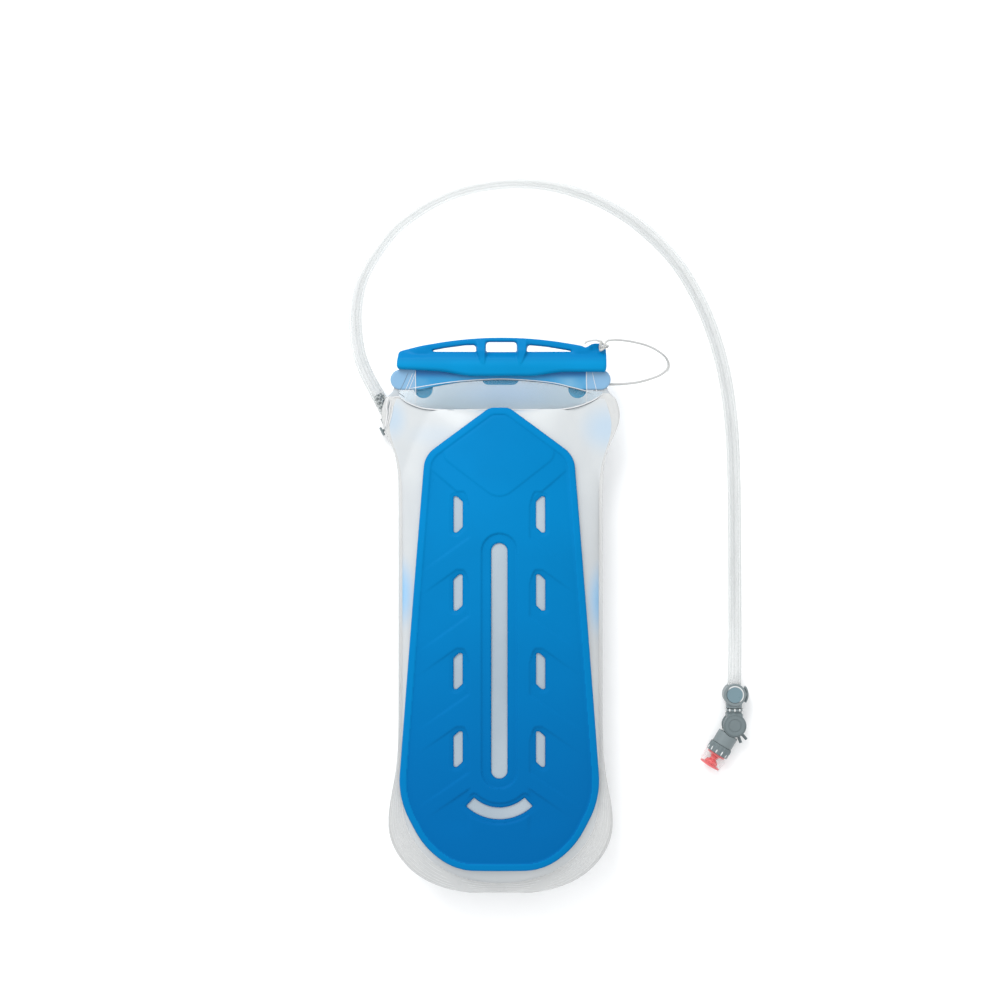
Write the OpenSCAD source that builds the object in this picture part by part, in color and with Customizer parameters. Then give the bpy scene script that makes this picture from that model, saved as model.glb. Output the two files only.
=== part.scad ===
// Hydration bladder lying on its back: a welded film bag with a stiff backer plate,
// a slide-on closure with a carrying handle, and a drinking hose with a bite valve.
// X runs across the bag, Y along it towards the closure, Z up from the surface it lies on.

/* [Bag] */
// Full width of the bag at its waist
waist_w = 153; // [140:1:170]
// Extra half width of the film at the shoulders
shoulder_flare = 12.8; // [8:0.2:16]
// Extra half width of the film at the hips
hip_flare = 7.6; // [4:0.2:11]
// Height of the welded seam above the surface
weld_z = 36; // [34:1:40]
// Height of the front film above the seam
front_bulge = 21; // [18:1:24]
// Thickness of the film
film_t = 0.6; // [0.5:0.1:0.8]
// Width of the bottom seam
bottom_seam = 9.5; // [7:0.5:12]

/* [Backer plate] */
// Height of the plate's outer face above the surface, at its middle
plate_top = 60; // [59:0.5:62]
// Thickness of the plate
plate_t = 2.2; // [1.8:0.1:2.6]
// Radius of the plate across the bag
plate_rx = 200; // [180:5:220]
// Radius of the plate along the bag
plate_ry = 1100; // [950:50:1250]
// Gap between the plate and the film
plate_gap = 0.7; // [0.5:0.05:0.9]

/* [Closure] */
// Half length of the slider
slider_half = 79.5; // [79:0.1:80]
// Height of the front jaw's face above the seam
jaw_front = 8; // [7:0.5:9]
// Depth of the rear jaw's face below the seam
jaw_rear = 7.2; // [7:0.2:8]

/* [Hose] */
// Outside diameter of the hose
hose_d = 10.2; // [9.5:0.1:10.3]
// Outside diameter of the leash
leash_d = 2; // [1.5:0.1:2.2]
// Direction of the hose port, in degrees from +X
port_angle = 119; // [116:1:121]

/* [Bite valve] */
// Angle of the mouthpiece, in degrees from +X
bite_angle = -121.5; // [-125:0.5:-118]
// Radius of the valve's round knuckle
knuckle_r = 8.7; // [8.5:0.1:9]
// Radius of the mouthpiece's barrel
barrel_r = 8; // [7.5:0.1:8.2]

/* [Hidden] */
$fn = 48;

// The film's outline and the chamber inside its seam
bag_bottom = -208;
hip_y = -155;
shoulder_y = 150;
corner_y = -155;
corner_power = 2.6;
chamber_bottom = bag_bottom + bottom_seam;
chamber_top = 154;
chamber_top_rise = 9;
neck_half = 80;
neck_from = 161;
neck_y = 171;
lip_half = 75.5;
lip_y = 184;
film_top = 189;
seam_side = 2.9;
rear_bulge = 41.3;
mid_y = -20;

// The plate's slots
slot_x = 31;
slot_top = 75.2;
slot_pitch = 58.5;
mid_slot_low = -116;
mid_slot_high = 48;
mid_slot_r = 5.9;
smile_inner_r = 27;
smile_outer_r = 36;

// The port's place under the left shoulder, and the pad of film that it is welded to
port_at = [-48, 84];
port_pad_z = 22;
port_pad_r = 20;
port_blend_r = 34;
port_axis_z = 8;
port_r = 6;
port_bore_r = 3.2;
flange_r = 11;
elbow_tube_r = 5.5;

// The quick connector, along the port's axis
socket_r = 7.5;
socket_grip_r = 7.7;
socket_from = 40;
socket_to = 74.5;
spigot_r = 4.55;
spigot_gap = 0.05;
spigot_end = 58.5;
seal_at = 62;
button_at = 68.5;
button_r = 11.6;
collar_r = 7.4;
collar_to = 77.2;
barb_r = 3.3;
barb_rise = 0.9;
barb_pitch = 3.4;
barb_tip = 94.6;
water_bore_r = 2.3;

// The closure
strip_t = 1.5;
strip_half = 82.5;
slider_x = 1.5;
slider_low = 180.8;
slider_low_ends = 184.3;
jaw_top = 197.2;
handle_top = 208;
handle_end = 196.5;
lug_at = [76.5, 200.5];

// The valve's place at the end of the hose
valve_at = [178.2, -85.4, 9.2];
// The valve's pivot pin, its running fit, its barb and the bore of its mouthpiece
pin_r = 2;
pin_play = 0.05;
valve_barb_r = 3;
mouth_bore_r = 3;
valve_tube_r = 5.8;
clip_y = 23.5;
clip_r = 8.5;
clip_neck_r = 6.1;
clip_low_z = -6;
clip_h = 13.2;

// Routes, as points along each centreline
hose_route = [[-85.6, 151.9, 8], [-90.5, 160.7, 8], [-95.4, 169.5, 8], [-100, 177.9, 7.6],
    [-104.1, 186.4, 7], [-107.7, 196.4, 6.2], [-110.2, 208.7, 5.5], [-111.3, 224, 5.2],
    [-110.2, 239.5, 5.2], [-106.6, 254.8, 5.2], [-99, 270, 5.2], [-88.7, 285, 5.2],
    [-77, 297.8, 5.2], [-54, 313.6, 5.2], [-31, 323.4, 5.2], [-8, 328.4, 5.2], [15, 329.8, 5.2],
    [38, 327.8, 5.2], [61, 321.6, 5.2], [84, 311.4, 5.2], [107, 296, 5.2], [133, 270.2, 5.2],
    [152, 239.4, 5.2], [164.3, 208.7, 5.2], [172.3, 177, 5.2], [177, 140, 5.2], [178.6, 101, 5.2],
    [179.1, 60, 5.2], [179.3, 15, 5.4], [179.2, -20, 7.2], [178.7, -45, 9], [178.3, -60, 9.2],
    [178.2, -72.45, 9.2]];
leash_route = [[80.5, 205.6, 40.6], [86, 206.2, 39], [95, 205.8, 34.5], [105, 204.4, 27.5],
    [113.5, 202.5, 19], [120.5, 199.6, 11], [126.5, 195.6, 4], [129, 190.6, 1.2],
    [127.5, 186.2, 2.2], [122, 181.8, 8], [113.5, 178.2, 16], [104, 175.4, 23.5],
    [94, 173.9, 29.2], [87, 173.4, 31.2], [79.4, 173.2, 31.6]];
dip_route = [[-48, 84, 28.6], [-48, 83, 32.5], [-47.5, 76, 34.8], [-46.5, 62, 33], [-46, 44, 27],
    [-46, 18, 22], [-46, -20, 20], [-46, -60, 20], [-45, -95, 21], [-43, -125, 23],
    [-40, -150, 26]];

function bell(y, at, w) = exp(-pow((y - at) / w, 2));
function ramp(t) = let (c = min(max(t, 0), 1)) c * c * (3 - 2 * c);
function mix(a, b, t) = a + (b - a) * t;
function round_end(y, from, to) =
    y > from ? 1 : pow(max(0, 1 - pow((from - y) / (from - to), corner_power)), 1 / corner_power);

// Half width of the film at y
function film_half(y) =
    let (side = waist_w / 2 + shoulder_flare * bell(y, shoulder_y, 24) + hip_flare * bell(y, hip_y, 34),
         body = side * round_end(y, corner_y, bag_bottom - 0.9))
    y > lip_y - 1 ? lip_half : mix(body, neck_half, ramp((y - neck_from) / (neck_y - neck_from)));

// Half width of the chamber at y
function chamber_half(y) =
    (waist_w / 2 - seam_side + 9.5 * bell(y, 142, 24) + 6 * bell(y, -150, 42))
    * round_end(y, corner_y, chamber_bottom - 0.5);

// Share of the full bulge at x, y: 1 over the middle of the chamber and 0 at its seam
function swell(x, y) =
    let (u = min(1, abs(x) / max(chamber_half(y), 1)),
         top = chamber_top + chamber_top_rise * u * u,
         v = y > mid_y ? (y - mid_y) / (top - mid_y) : (mid_y - y) / (mid_y - chamber_bottom))
    v >= 1 ? 0 : pow(1 - pow(u, 2.6), 0.75) * pow(1 - pow(v, 3.5), 0.7);

function plate_face(x, y) = plate_top - x * x / (2 * plate_rx) - pow(y - mid_y, 2) / (2 * plate_ry);
function front_z(x, y) =
    min(weld_z + film_t + front_bulge * swell(x, y),
        max(weld_z + film_t, plate_face(x, y) - plate_t - plate_gap));
function rear_z(x, y) =
    let (free = max(0, weld_z - film_t - rear_bulge * swell(x, y)),
         d = norm([x - port_at[0], y - port_at[1]]))
    mix(port_pad_z, free, ramp((d - port_pad_r) / (port_blend_r - port_pad_r)));

// Stations of the film's grid, across the bag as shares and along it in millimetres
across = [-1, for (i = [0 : 24]) -cos(i * 180 / 24), 1];
along = [bag_bottom, bag_bottom + 4, for (i = [0 : 8]) mix(chamber_bottom, -120, 1 - cos(i * 90 / 8)),
    for (y = [-98 : 22 : 34]) y, for (dy = [-32, -14, 0, 14, 26]) port_at[1] + dy,
    for (i = [0 : 8]) mix(118, 162, sin(i * 90 / 8)),
    neck_y, 176, lip_y - 1.5, lip_y - 0.5, film_top];

// A station's x: the outermost two lie on the film's edge and the others inside the chamber
function station_x(i, y, inset) =
    let (edge = film_half(y), room = min(chamber_half(y) - inset, edge - 1))
    i == 0 ? -edge : i == len(across) - 1 ? edge : across[i] * room;

function inner(p, y, way) =
    let (k = max(0.9, 1 - film_t / max(chamber_half(y), 1)))
    [p[0] * k, p[1], p[2] - way * film_t];

// Faces of a closed sheet whose upper grid of nx by ny points is followed by its lower grid
function turned(t) = [t[0], t[2], t[1]];
function shell_faces(nx, ny) =
    let (n = nx * ny,
         skin = [for (j = [0 : ny - 2]) for (i = [0 : nx - 2]) let (a = j * nx + i)
             for (t = [[a, a + 1, a + nx + 1], [a, a + nx + 1, a + nx]]) t],
         front = [for (i = [0 : nx - 2]) [i, i + 1]],
         right = [for (j = [0 : ny - 2]) [j * nx + nx - 1, j * nx + 2 * nx - 1]],
         back = [for (i = [nx - 1 : -1 : 1]) [n - nx + i, n - nx + i - 1]],
         left = [for (j = [ny - 1 : -1 : 1]) [j * nx, j * nx - nx]])
    concat([for (t = skin) turned(t)], [for (t = skin) [t[0] + n, t[1] + n, t[2] + n]],
        [for (e = concat(front, right, back, left))
            for (t = [[e[0], e[1], e[1] + n], [e[0], e[1] + n, e[0] + n]]) t]);

// A film panel: its outer skin, its inner skin one film thickness away, and the rim between them
module film_skin(heights, way) {
    nx = len(across);
    ny = len(along);
    outer = [for (j = [0 : ny - 1]) for (i = [0 : nx - 1])
        let (x = station_x(i, along[j], 0), y = along[j],
             flat = i == 0 || i == nx - 1)
        [x, y, flat ? weld_z + way * film_t : heights(x, y)]];
    inside = [for (j = [0 : ny - 1]) for (i = [0 : nx - 1])
        let (p = outer[j * nx + i], flat = i == 0 || i == nx - 1)
        flat ? [p[0], p[1], p[2] - way * film_t] : inner(p, along[j], way)];
    faces = shell_faces(nx, ny);
    polyhedron(concat(outer, inside), way > 0 ? faces : [for (t = faces) turned(t)]);
}

// A round bar along a line of points: a smooth curve through them, with count sides
function curve_point(p, i, t) =
    let (n = len(p) - 1, a = p[max(i - 1, 0)], b = p[i], c = p[min(i + 1, n)], d = p[min(i + 2, n)])
    0.5 * (2 * b + (c - a) * t + (2 * a - 5 * b + 4 * c - d) * t * t + (3 * b - a - 3 * c + d) * t * t * t);
function curve(p, steps) =
    [for (i = [0 : len(p) - 2]) for (s = [0 : steps - 1]) curve_point(p, i, s / steps), p[len(p) - 1]];
function unit(v) = v / norm(v);

module bar(points, r, count, up = [0, 0, 1]) {
    n = len(points);
    rings = [for (i = [0 : n - 1])
        let (t = unit(points[min(i + 1, n - 1)] - points[max(i - 1, 0)]), side = unit(cross(t, up)),
             top = cross(side, t))
        for (k = [0 : count - 1])
            points[i] + r * (side * cos(k * 360 / count) + top * sin(k * 360 / count))];
    walls = [for (i = [0 : n - 2]) for (k = [0 : count - 1])
        let (a = i * count + k, b = i * count + (k + 1) % count, c = b + count, d = a + count)
        for (f = [[a, c, b], [a, d, c]]) f];
    polyhedron(rings, concat(walls, [[for (k = [0 : count - 1]) k]],
        [[for (k = [count - 1 : -1 : 0]) (n - 1) * count + k]]));
}

// A cylinder along +X from one place to another
module rod(r, from, to) {
    translate([from, 0, 0]) rotate([0, 90, 0]) cylinder(r = r, h = to - from);
}

// A ring about the X axis
module ring_x(x, major, minor) {
    translate([x, 0, 0]) rotate([0, 90, 0]) rotate_extrude() translate([major, 0]) circle(minor, $fn = 24);
}

// A flat bar across X with round ends, lying on z
module round_bar(half, low, high, z, t) {
    r = (high - low) / 2;
    translate([0, low + r, z]) {
        translate([-half + r, -r, 0]) cube([2 * (half - r), 2 * r, t]);
        for (s = [-1, 1]) translate([s * (half - r), 0, 0]) cylinder(r = r, h = t);
    }
}

// ---- Bag ----

module front_panel() {
    color([0.86, 0.9, 0.92, 0.45]) film_skin(function (x, y) front_z(x, y), 1);
}

module rear_panel() {
    color([0.84, 0.88, 0.9, 0.45]) difference() {
        film_skin(function (x, y) rear_z(x, y), -1);
        translate([port_at[0], port_at[1], port_pad_z - 3]) cylinder(r = port_r - 1, h = 8);
    }
}

// Stiff strip on a lip, with an ear at each end and a lower edge that arches up between them
module closure_strip(z) {
    difference() {
        union() {
            round_bar(strip_half, 169, 184, z, strip_t);
            translate([-lip_half, 180, z]) cube([2 * lip_half, film_top - 180, strip_t]);
        }
        translate([0, -59.5, z - 1]) cylinder(r = 236, h = strip_t + 2, $fn = 160);
    }
}

module closure_strip_front() {
    color([0.62, 0.78, 0.93, 0.6]) closure_strip(weld_z + film_t);
}

module closure_strip_rear() {
    color([0.62, 0.78, 0.93, 0.6]) closure_strip(weld_z - film_t - strip_t);
}

// The lips above the strips, rolled forward once inside the slider
module folded_mouth() {
    bend_y = 192.2;
    bend_r = 1.75;
    bend_z = weld_z + film_t / 2 + 1;
    thick = 1.2;
    color([0.86, 0.9, 0.92, 0.6]) translate([-lip_half, 0, 0]) rotate([90, 0, 90])
        linear_extrude(2 * lip_half) {
            translate([film_top, bend_z - bend_r]) square([bend_y - film_top, thick]);
            translate([film_top + 0.1, bend_z + bend_r - thick]) square([bend_y - film_top - 0.1, thick]);
            difference() {
                translate([bend_y, bend_z]) circle(bend_r);
                translate([bend_y, bend_z]) circle(bend_r - thick);
                translate([bend_y - 5, bend_z - 5]) square([5, 10]);
            }
        }
}

// ---- Backer plate ----

module plate_outline() {
    hull() {
        translate([0, 123.5]) circle(30, $fn = 64);
        for (s = [-1, 1]) {
            translate([s * 41.5, 108]) circle(16);
            translate([s * 54.6, -126]) circle(20);
            translate([s * 19, -144.6]) circle(46, $fn = 64);
        }
    }
}

module side_slot() {
    polygon([[-3.3, -13.2], [0.5, -13.2], [3.3, -9.8], [3.3, 13.2], [-0.5, 13.2], [-3.3, 9.8]]);
}

module plate_slots() {
    // Four rows of side slots
    for (s = [-1, 1]) for (k = [0 : 3])
        translate([s * slot_x, slot_top - k * slot_pitch]) mirror([s > 0 ? 1 : 0, 0]) side_slot();
    // Long middle slot
    hull() for (y = [mid_slot_low, mid_slot_high]) translate([0, y]) circle(mid_slot_r);
    // Curved slot below it
    translate([0, mid_slot_low]) intersection() {
        difference() {
            circle(smile_outer_r);
            circle(smile_inner_r);
        }
        polygon([[0, 0], [-45, -47], [0, -64], [45, -47]]);
    }
}

// The plate's blank: a sheet curved both ways
module plate_sheet() {
    xs = [for (x = [-80 : 10 : 80]) x];
    ys = [for (y = [-196 : 16 : 156]) y];
    top = [for (y = ys) for (x = xs) [x, y, plate_face(x, y)]];
    low = [for (p = top) p - [0, 0, plate_t]];
    polyhedron(concat(top, low), shell_faces(len(xs), len(ys)));
}

module backer_plate() {
    color("#0085cc") intersection() {
        plate_sheet();
        translate([0, 0, 30]) linear_extrude(40) difference() {
            plate_outline();
            plate_slots();
        }
    }
}

// Spots where the plate's edge is welded to the film
module backer_weld_spots() {
    spots = [[0, 134], [48, 100], [58, 40], [56, -30], [58, -100], [45, -168]];
    spot_h = plate_gap + 1.3;
    color("#0b93d9") for (p = spots) for (s = p[0] == 0 ? [1] : [-1, 1])
        translate([s * p[0], p[1], plate_face(p[0], p[1]) - plate_t - plate_gap - 0.4])
            cylinder(r = 2.5, h = spot_h, $fn = 24);
}

// ---- Port and quick connector ----

// Places its children with +X along the port's axis
module on_port() {
    translate([port_at[0], port_at[1], port_axis_z]) rotate([0, 0, port_angle]) children();
}

module at_port(z) {
    translate([port_at[0], port_at[1], z]) children();
}

module port_flange() {
    color("#8c989d") difference() {
        union() {
            at_port(port_pad_z - 2.2) cylinder(r = flange_r, h = 2);
            at_port(port_pad_z - 2.2) cylinder(r = port_r - 1.2, h = 6.8);
            at_port(port_pad_z + 3) cylinder(r = 3.9, h = 5.5);
        }
        at_port(port_pad_z - 3) cylinder(r = port_bore_r - 0.6, h = 14);
        at_port(port_pad_z - 3) cylinder(r = port_bore_r + 1, h = 1.8);
    }
}

module port_gasket() {
    color("#3c4245") at_port(port_pad_z + film_t + 0.15) difference() {
        cylinder(r = 8.5, h = 1.2);
        translate([0, 0, -1]) cylinder(r = port_r - 1.15, h = 4);
    }
}

module port_elbow() {
    neck_top = port_pad_z - 2.25;
    color("#8c989d") difference() {
        union() {
            at_port(port_axis_z) cylinder(r = port_r, h = neck_top - port_axis_z);
            at_port(neck_top - 3.25) cylinder(r = port_r + 2, h = 3.2);
            at_port(port_axis_z) sphere(port_r + 0.6);
            on_port() {
                rod(elbow_tube_r, 0, socket_from + 1);
                rod(socket_r, socket_from, socket_to);
                for (x = [3, 6, 9, 12]) rod(socket_grip_r, socket_from + x, socket_from + x + 1.2);
            }
        }
        at_port(port_axis_z) cylinder(r = port_bore_r - 1, h = 30);
        on_port() {
            rod(port_bore_r - 0.5, -1.5, socket_to + 1);
            rod(spigot_r + spigot_gap, spigot_end - 1, socket_to + 1);
            // Slot and pocket for the release button
            translate([button_at - 1.1, 0, -1.6]) cube([2.2, 12, 3.2]);
            translate([button_at - 2.6, 5.7, -2.6]) cube([5.2, 12, 5.2]);
        }
    }
}

module release_button() {
    pad_from = button_r - 1.9;
    color("#a7b2b6") on_port() {
        translate([button_at - 0.9, 5.6, -1.4]) cube([1.8, pad_from - 5.5, 2.8]);
        intersection() {
            translate([button_at, 0, 0]) rotate([0, 90, 0]) cylinder(r = button_r, h = 6.4, center = true);
            translate([button_at - 3.2, pad_from, -4.2]) cube([6.4, 2.2, 8.4]);
        }
    }
}

module button_spring() {
    color("#c9ced1") on_port() for (y = [6.05, 6.95]) translate([button_at, y, 0]) rotate([90, 0, 0])
        rotate_extrude() translate([2.0, 0]) circle(0.28, $fn = 16);
}

// Barbs along +X, each falling away from a sharp edge at its near end
module barbs(from, count, pitch, r) {
    for (k = [0 : count - 1]) translate([from + k * pitch, 0, 0]) rotate([0, 90, 0])
        cylinder(r1 = r + barb_rise, r2 = r, h = pitch * 0.7);
}

module hose_plug() {
    color("#59636a") on_port() difference() {
        union() {
            rod(spigot_r, spigot_end, socket_to + 0.5);
            rod(collar_r, socket_to + 0.2, collar_to);
            rod(barb_r, collar_to - 1, barb_tip);
            barbs(collar_to + 0.6, 5, barb_pitch, barb_r);
        }
        rod(water_bore_r, spigot_end - 5, barb_tip + 2);
        // Groove that the release button locks in, and groove of the seal
        difference() {
            rod(6, button_at - 1.6, button_at + 1.6);
            rod(3.6, button_at - 3, button_at + 3);
        }
        difference() {
            rod(6, seal_at - 1.1, seal_at + 1.1);
            rod(3.4, seal_at - 2, seal_at + 2);
        }
    }
}

module plug_oring() {
    color("#24282a") on_port() ring_x(seal_at, 3.99, 0.56);
}

// Pick-up tube that carries water from the bottom of the bag to the port
module dip_tube() {
    color([0.9, 0.93, 0.94, 0.5]) difference() {
        bar(curve(dip_route, 3), 4.6, 10, [0, 1, 0.2]);
        at_port(20) cylinder(r = 3.95, h = 11);
    }
}

module dip_tube_clamp() {
    color("#59636a") at_port(port_pad_z + 4.9) difference() {
        cylinder(r = 6, h = 0.5);
        translate([0, 0, -1]) cylinder(r = 3.95, h = 3);
    }
}

// ---- Slider and leash ----

// Height of the slider's front outline at x
arch_r = (slider_half * slider_half + pow(handle_top - handle_end, 2)) / (2 * (handle_top - handle_end));
function arch(x) = handle_top - arch_r + sqrt(arch_r * arch_r - x * x);
function lower_edge(x) = mix(slider_low, slider_low_ends, ramp((abs(x) - 24) / 26));

module slider_outline() {
    xs = [for (i = [0 : 32]) mix(-slider_half, slider_half, i / 32)];
    polygon(concat([for (x = xs) [x, lower_edge(x)]],
        [for (i = [32 : -1 : 0]) [xs[i], abs(xs[i]) >= slider_half ? handle_end - 1.5 : arch(xs[i])]]));
}

// The channel's section, drawn in Y and Z
module channel_section() {
    r = 3;
    low_z = weld_z - jaw_rear;
    high_z = weld_z + jaw_front;
    low_y = slider_low - 1;
    difference() {
        union() {
            translate([low_y, low_z + r]) square([jaw_top + 1 - low_y, high_z - low_z - 2 * r]);
            translate([low_y + r, low_z]) square([jaw_top + 1 - low_y - 2 * r, high_z - low_z]);
            for (y = [low_y + r, jaw_top + 1 - r]) for (z = [low_z + r, high_z - r])
                translate([y, z]) circle(r);
        }
        translate([low_y - 1, weld_z - film_t - strip_t - 0.35])
            square([film_top + 0.5 - low_y + 1, 2 * (film_t + strip_t) + 0.7]);
        translate([186, weld_z - 3.4]) square([8.4, 7.4]);
    }
}

// Feet on the rear jaw that press the lips flat
module jaw_feet() {
    z = weld_z - jaw_rear;
    for (s = [-1, 1]) translate([s * 58 - slider_x, 0, z]) {
        translate([-7, 170, 0]) cube([14, 18, 2.2]);
        translate([0, 170, 0]) cylinder(r = 7, h = 2.2);
    }
    translate([-14, 175, z]) cube([28, 12, 2.2]);
    for (s = [-1, 1]) translate([s * 9, 178, z]) cylinder(r = 5, h = 2.2);
}

module handle_openings() {
    // Middle finger opening
    for (x = [-10.2, 10.2]) for (y = [jaw_top + 2, handle_top - 5.2]) translate([x, y]) circle(2);
    translate([-12.2, jaw_top + 2]) square([24.4, handle_top - 7.2 - jaw_top]);
    translate([-10.2, jaw_top]) square([20.4, handle_top - 3.2 - jaw_top]);
    // Side openings, each narrowing to a point
    for (s = [-1, 1]) polygon([[s * 18.5, jaw_top], [s * 53, jaw_top], [s * 46, arch(46) - 3.2],
        [s * 32, arch(32) - 3.4], [s * 18.5, arch(18.5) - 3.4]]);
}

module slider() {
    color("#008ccf") translate([slider_x, 0, 0]) difference() {
        union() {
            intersection() {
                translate([-slider_half, 0, 0]) rotate([90, 0, 90])
                    linear_extrude(2 * slider_half) channel_section();
                translate([0, 0, weld_z - 15]) linear_extrude(30) slider_outline();
            }
            // Closed end that stops the slider on the lips
            intersection() {
                translate([-slider_half, 180, weld_z - jaw_rear + 1])
                    cube([1.6, 17, jaw_rear + jaw_front - 2]);
                translate([0, 0, weld_z - 15]) linear_extrude(30) slider_outline();
            }
            // Handle
            translate([0, 0, weld_z - 3]) linear_extrude(8) difference() {
                intersection() {
                    slider_outline();
                    translate([-100, jaw_top - 1.2]) square([200, 30]);
                }
                handle_openings();
            }
            // Ribs that carry the handle's posts down over the front jaw
            for (s = [-1, 1])
                translate([s * 15.4 - 2.2, 185, weld_z + jaw_front - 1]) cube([4.4, 12, 1.9]);
            jaw_feet();
            translate([lug_at[0] - slider_x, lug_at[1], weld_z - 2]) cylinder(r = 5, h = 5);
        }
        translate([lug_at[0] - slider_x, lug_at[1] + 0.6, weld_z - 4]) cylinder(r = 2.7, h = 14);
    }
}

// The leash's knot through the slider's lug, and its short tail
module leash_knot() {
    color([0.88, 0.9, 0.9, 0.8]) translate([lug_at[0], lug_at[1] + 0.6, weld_z + 4.8]) {
        cylinder(r = 2.4, h = 3.2);
        translate([0, 0, 1.6]) rotate_extrude() translate([3.1, 0]) circle(1, $fn = 20);
        translate([0, 2.6, 1.4]) rotate([90, 0, 90]) rotate_extrude()
            translate([2, 0]) circle(0.9, $fn = 20);
        translate([-13, 3.6, 1.4]) rotate([0, 90, 0]) cylinder(r = 0.9, h = 11);
    }
}

module leash() {
    color([0.88, 0.9, 0.9, 0.8]) bar(curve(leash_route, 2), leash_d / 2, 8, [0.1, 0, 1]);
}

// Bead under the right ear that the leash is tied to
module leash_anchor() {
    color([0.88, 0.9, 0.9, 0.8]) translate([0, 173.2, weld_z - 4.4]) {
        translate([77.2, 0, 0]) sphere(2.1);
        translate([73.5, 0, 0]) rotate([0, 90, 0]) cylinder(r = 1.1, h = 3);
        translate([74, 0, 0]) cylinder(r = 1, h = 2.28);
    }
}

// ---- Hose and bite valve ----

module hose() {
    color([0.92, 0.95, 0.95, 0.4]) bar(curve(hose_route, 2), hose_d / 2, 10);
}

module on_valve() {
    translate(valve_at) children();
}

// Turns +X to run up the hose, along +Y
module up_hose() {
    on_valve() rotate([0, 0, 90]) children();
}

module valve_barb() {
    color("#59636a") up_hose() difference() {
        union() {
            rod(4.2, 9.5, 10.6);
            rod(valve_barb_r, 9.5, 27);
            mirror([1, 0, 0]) barbs(-26.5, 4, barb_pitch, valve_barb_r);
        }
        rod(2, 9, 28);
    }
}

module magnet_clip() {
    color("#8e999d") on_valve() difference() {
        union() {
            translate([0, clip_y, clip_low_z]) cylinder(r = clip_r, h = clip_h);
            translate([0, 13, 0]) rotate([-90, 0, 0]) cylinder(r = clip_neck_r, h = 7);
            intersection() {
                translate([0, clip_y, -3]) difference() {
                    cylinder(r = 10.8, h = 7);
                    translate([0, 0, -1]) cylinder(r = 9.2, h = 9);
                }
                translate([0, clip_y, -4]) linear_extrude(9) polygon([[0, 0], [14, -10], [14, 10]]);
            }
            translate([7, clip_y - 1.2, -3]) cube([3, 2.4, 7]);
        }
        translate([0, 12, 0]) rotate([-90, 0, 0]) cylinder(r = hose_d / 2 + 0.07, h = 22);
        translate([-4, 14, -12]) cube([8, 20, 10]);
        translate([0, clip_y, 5.5]) cylinder(r = 6.2, h = 4);
    }
}

module clip_magnet() {
    color("#6d767a") on_valve() translate([0, clip_y, 5.55]) cylinder(r = 5.9, h = 1.2);
}

module magnet_cap() {
    color("#839ea7") on_valve() translate([0, clip_y, 6.8]) cylinder(r = 6.1, h = 0.9);
}

module elbow_housing() {
    color("#7d888c") on_valve() difference() {
        union() {
            for (z = [-7.6, 4.6]) translate([0, 0, z]) cylinder(r = knuckle_r, h = 3);
            translate([-valve_tube_r, 4, -7.6]) cube([2 * valve_tube_r, 5, 15.2]);
            translate([0, 8.3, 0]) rotate([-90, 0, 0]) cylinder(r = valve_tube_r, h = 4.3);
        }
        translate([0, 0, -4.6]) cylinder(r = 8.25, h = 9.2);
        translate([0, 0, -8]) cylinder(r = pin_r, h = 15.4);
        translate([0, 7, 0]) rotate([-90, 0, 0]) cylinder(r = 2.2, h = 4);
        translate([0, 9.3, 0]) rotate([-90, 0, 0]) cylinder(r = 4.3, h = 1.5);
        translate([0, 9.3, 0]) rotate([-90, 0, 0]) cylinder(r = valve_barb_r + 0.06, h = 6);
    }
}

module swivel_ring() {
    color("#59636a") up_hose() difference() {
        rod(6.6, 10.9, 12.5);
        rod(valve_tube_r + 0.02, 10, 14);
    }
}

module pivot_pin() {
    color("#b9c0c3") on_valve() translate([0, 0, -7.4]) cylinder(r = pin_r, h = 14.6);
}

module elbow_cap() {
    color("#8b979b") on_valve() translate([0, 0, 7.6]) {
        difference() {
            cylinder(r = 7.6, h = 0.8);
            translate([0, 0, 0.4]) difference() {
                cylinder(r = 5.2, h = 1);
                translate([0, 0, -1]) cylinder(r = 4.2, h = 3);
            }
        }
    }
}

// Places its children with +X along the mouthpiece
module on_bite() {
    on_valve() rotate([0, 0, bite_angle]) children();
}

module valve_barrel() {
    color("#87939a") on_bite() difference() {
        union() {
            translate([0, 0, -4.4]) cylinder(r = 8, h = 8.8);
            difference() {
                rod(barrel_r, 8.2, 18);
                for (z = [4.4, -14.4]) translate([0, 0, z]) cylinder(r = knuckle_r + 0.25, h = 10);
            }
            translate([0, -5, -4.4]) cube([9.5, 10, 8.8]);
            rod(6.2, 17, 24);
        }
        translate([0, 0, -10]) cylinder(r = pin_r + pin_play, h = 20);
        translate([0, 0, -1]) difference() {
            cylinder(r = 8.3, h = 2);
            translate([0, 0, -1]) cylinder(r = 4, h = 4);
        }
        rod(mouth_bore_r, 10, 25);
        difference() {
            rod(7, 20, 22);
            rod(5.1, 19, 23);
        }
    }
}

module valve_oring() {
    color("#24282a") on_bite() ring_x(21, 5.72, 0.6);
}

module valve_ring() {
    color("#9aa5a9") on_bite() difference() {
        union() {
            rod(8.6, 18.1, 25.4);
            for (k = [0 : 17]) rotate([k * 20, 0, 0]) translate([18.6, -0.6, 7.5]) cube([4.6, 1.2, 1.4]);
        }
        rod(6.45, 17, 24.2);
        rod(5, 24, 26);
    }
}

module bite_core() {
    color("#e8676a") on_bite() rotate([0, 90, 0]) rotate_extrude()
        polygon([[0, 25.5], [7.2, 25.5], [7.2, 26.7], [3.8, 27.6], [2.6, 29.2], [2.6, 30.6],
            [4.6, 31.8], [5.2, 33.2], [5.2, 34], [8, 34.8], [8, 36], [4, 36.6], [0, 36.8]]);
}

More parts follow.
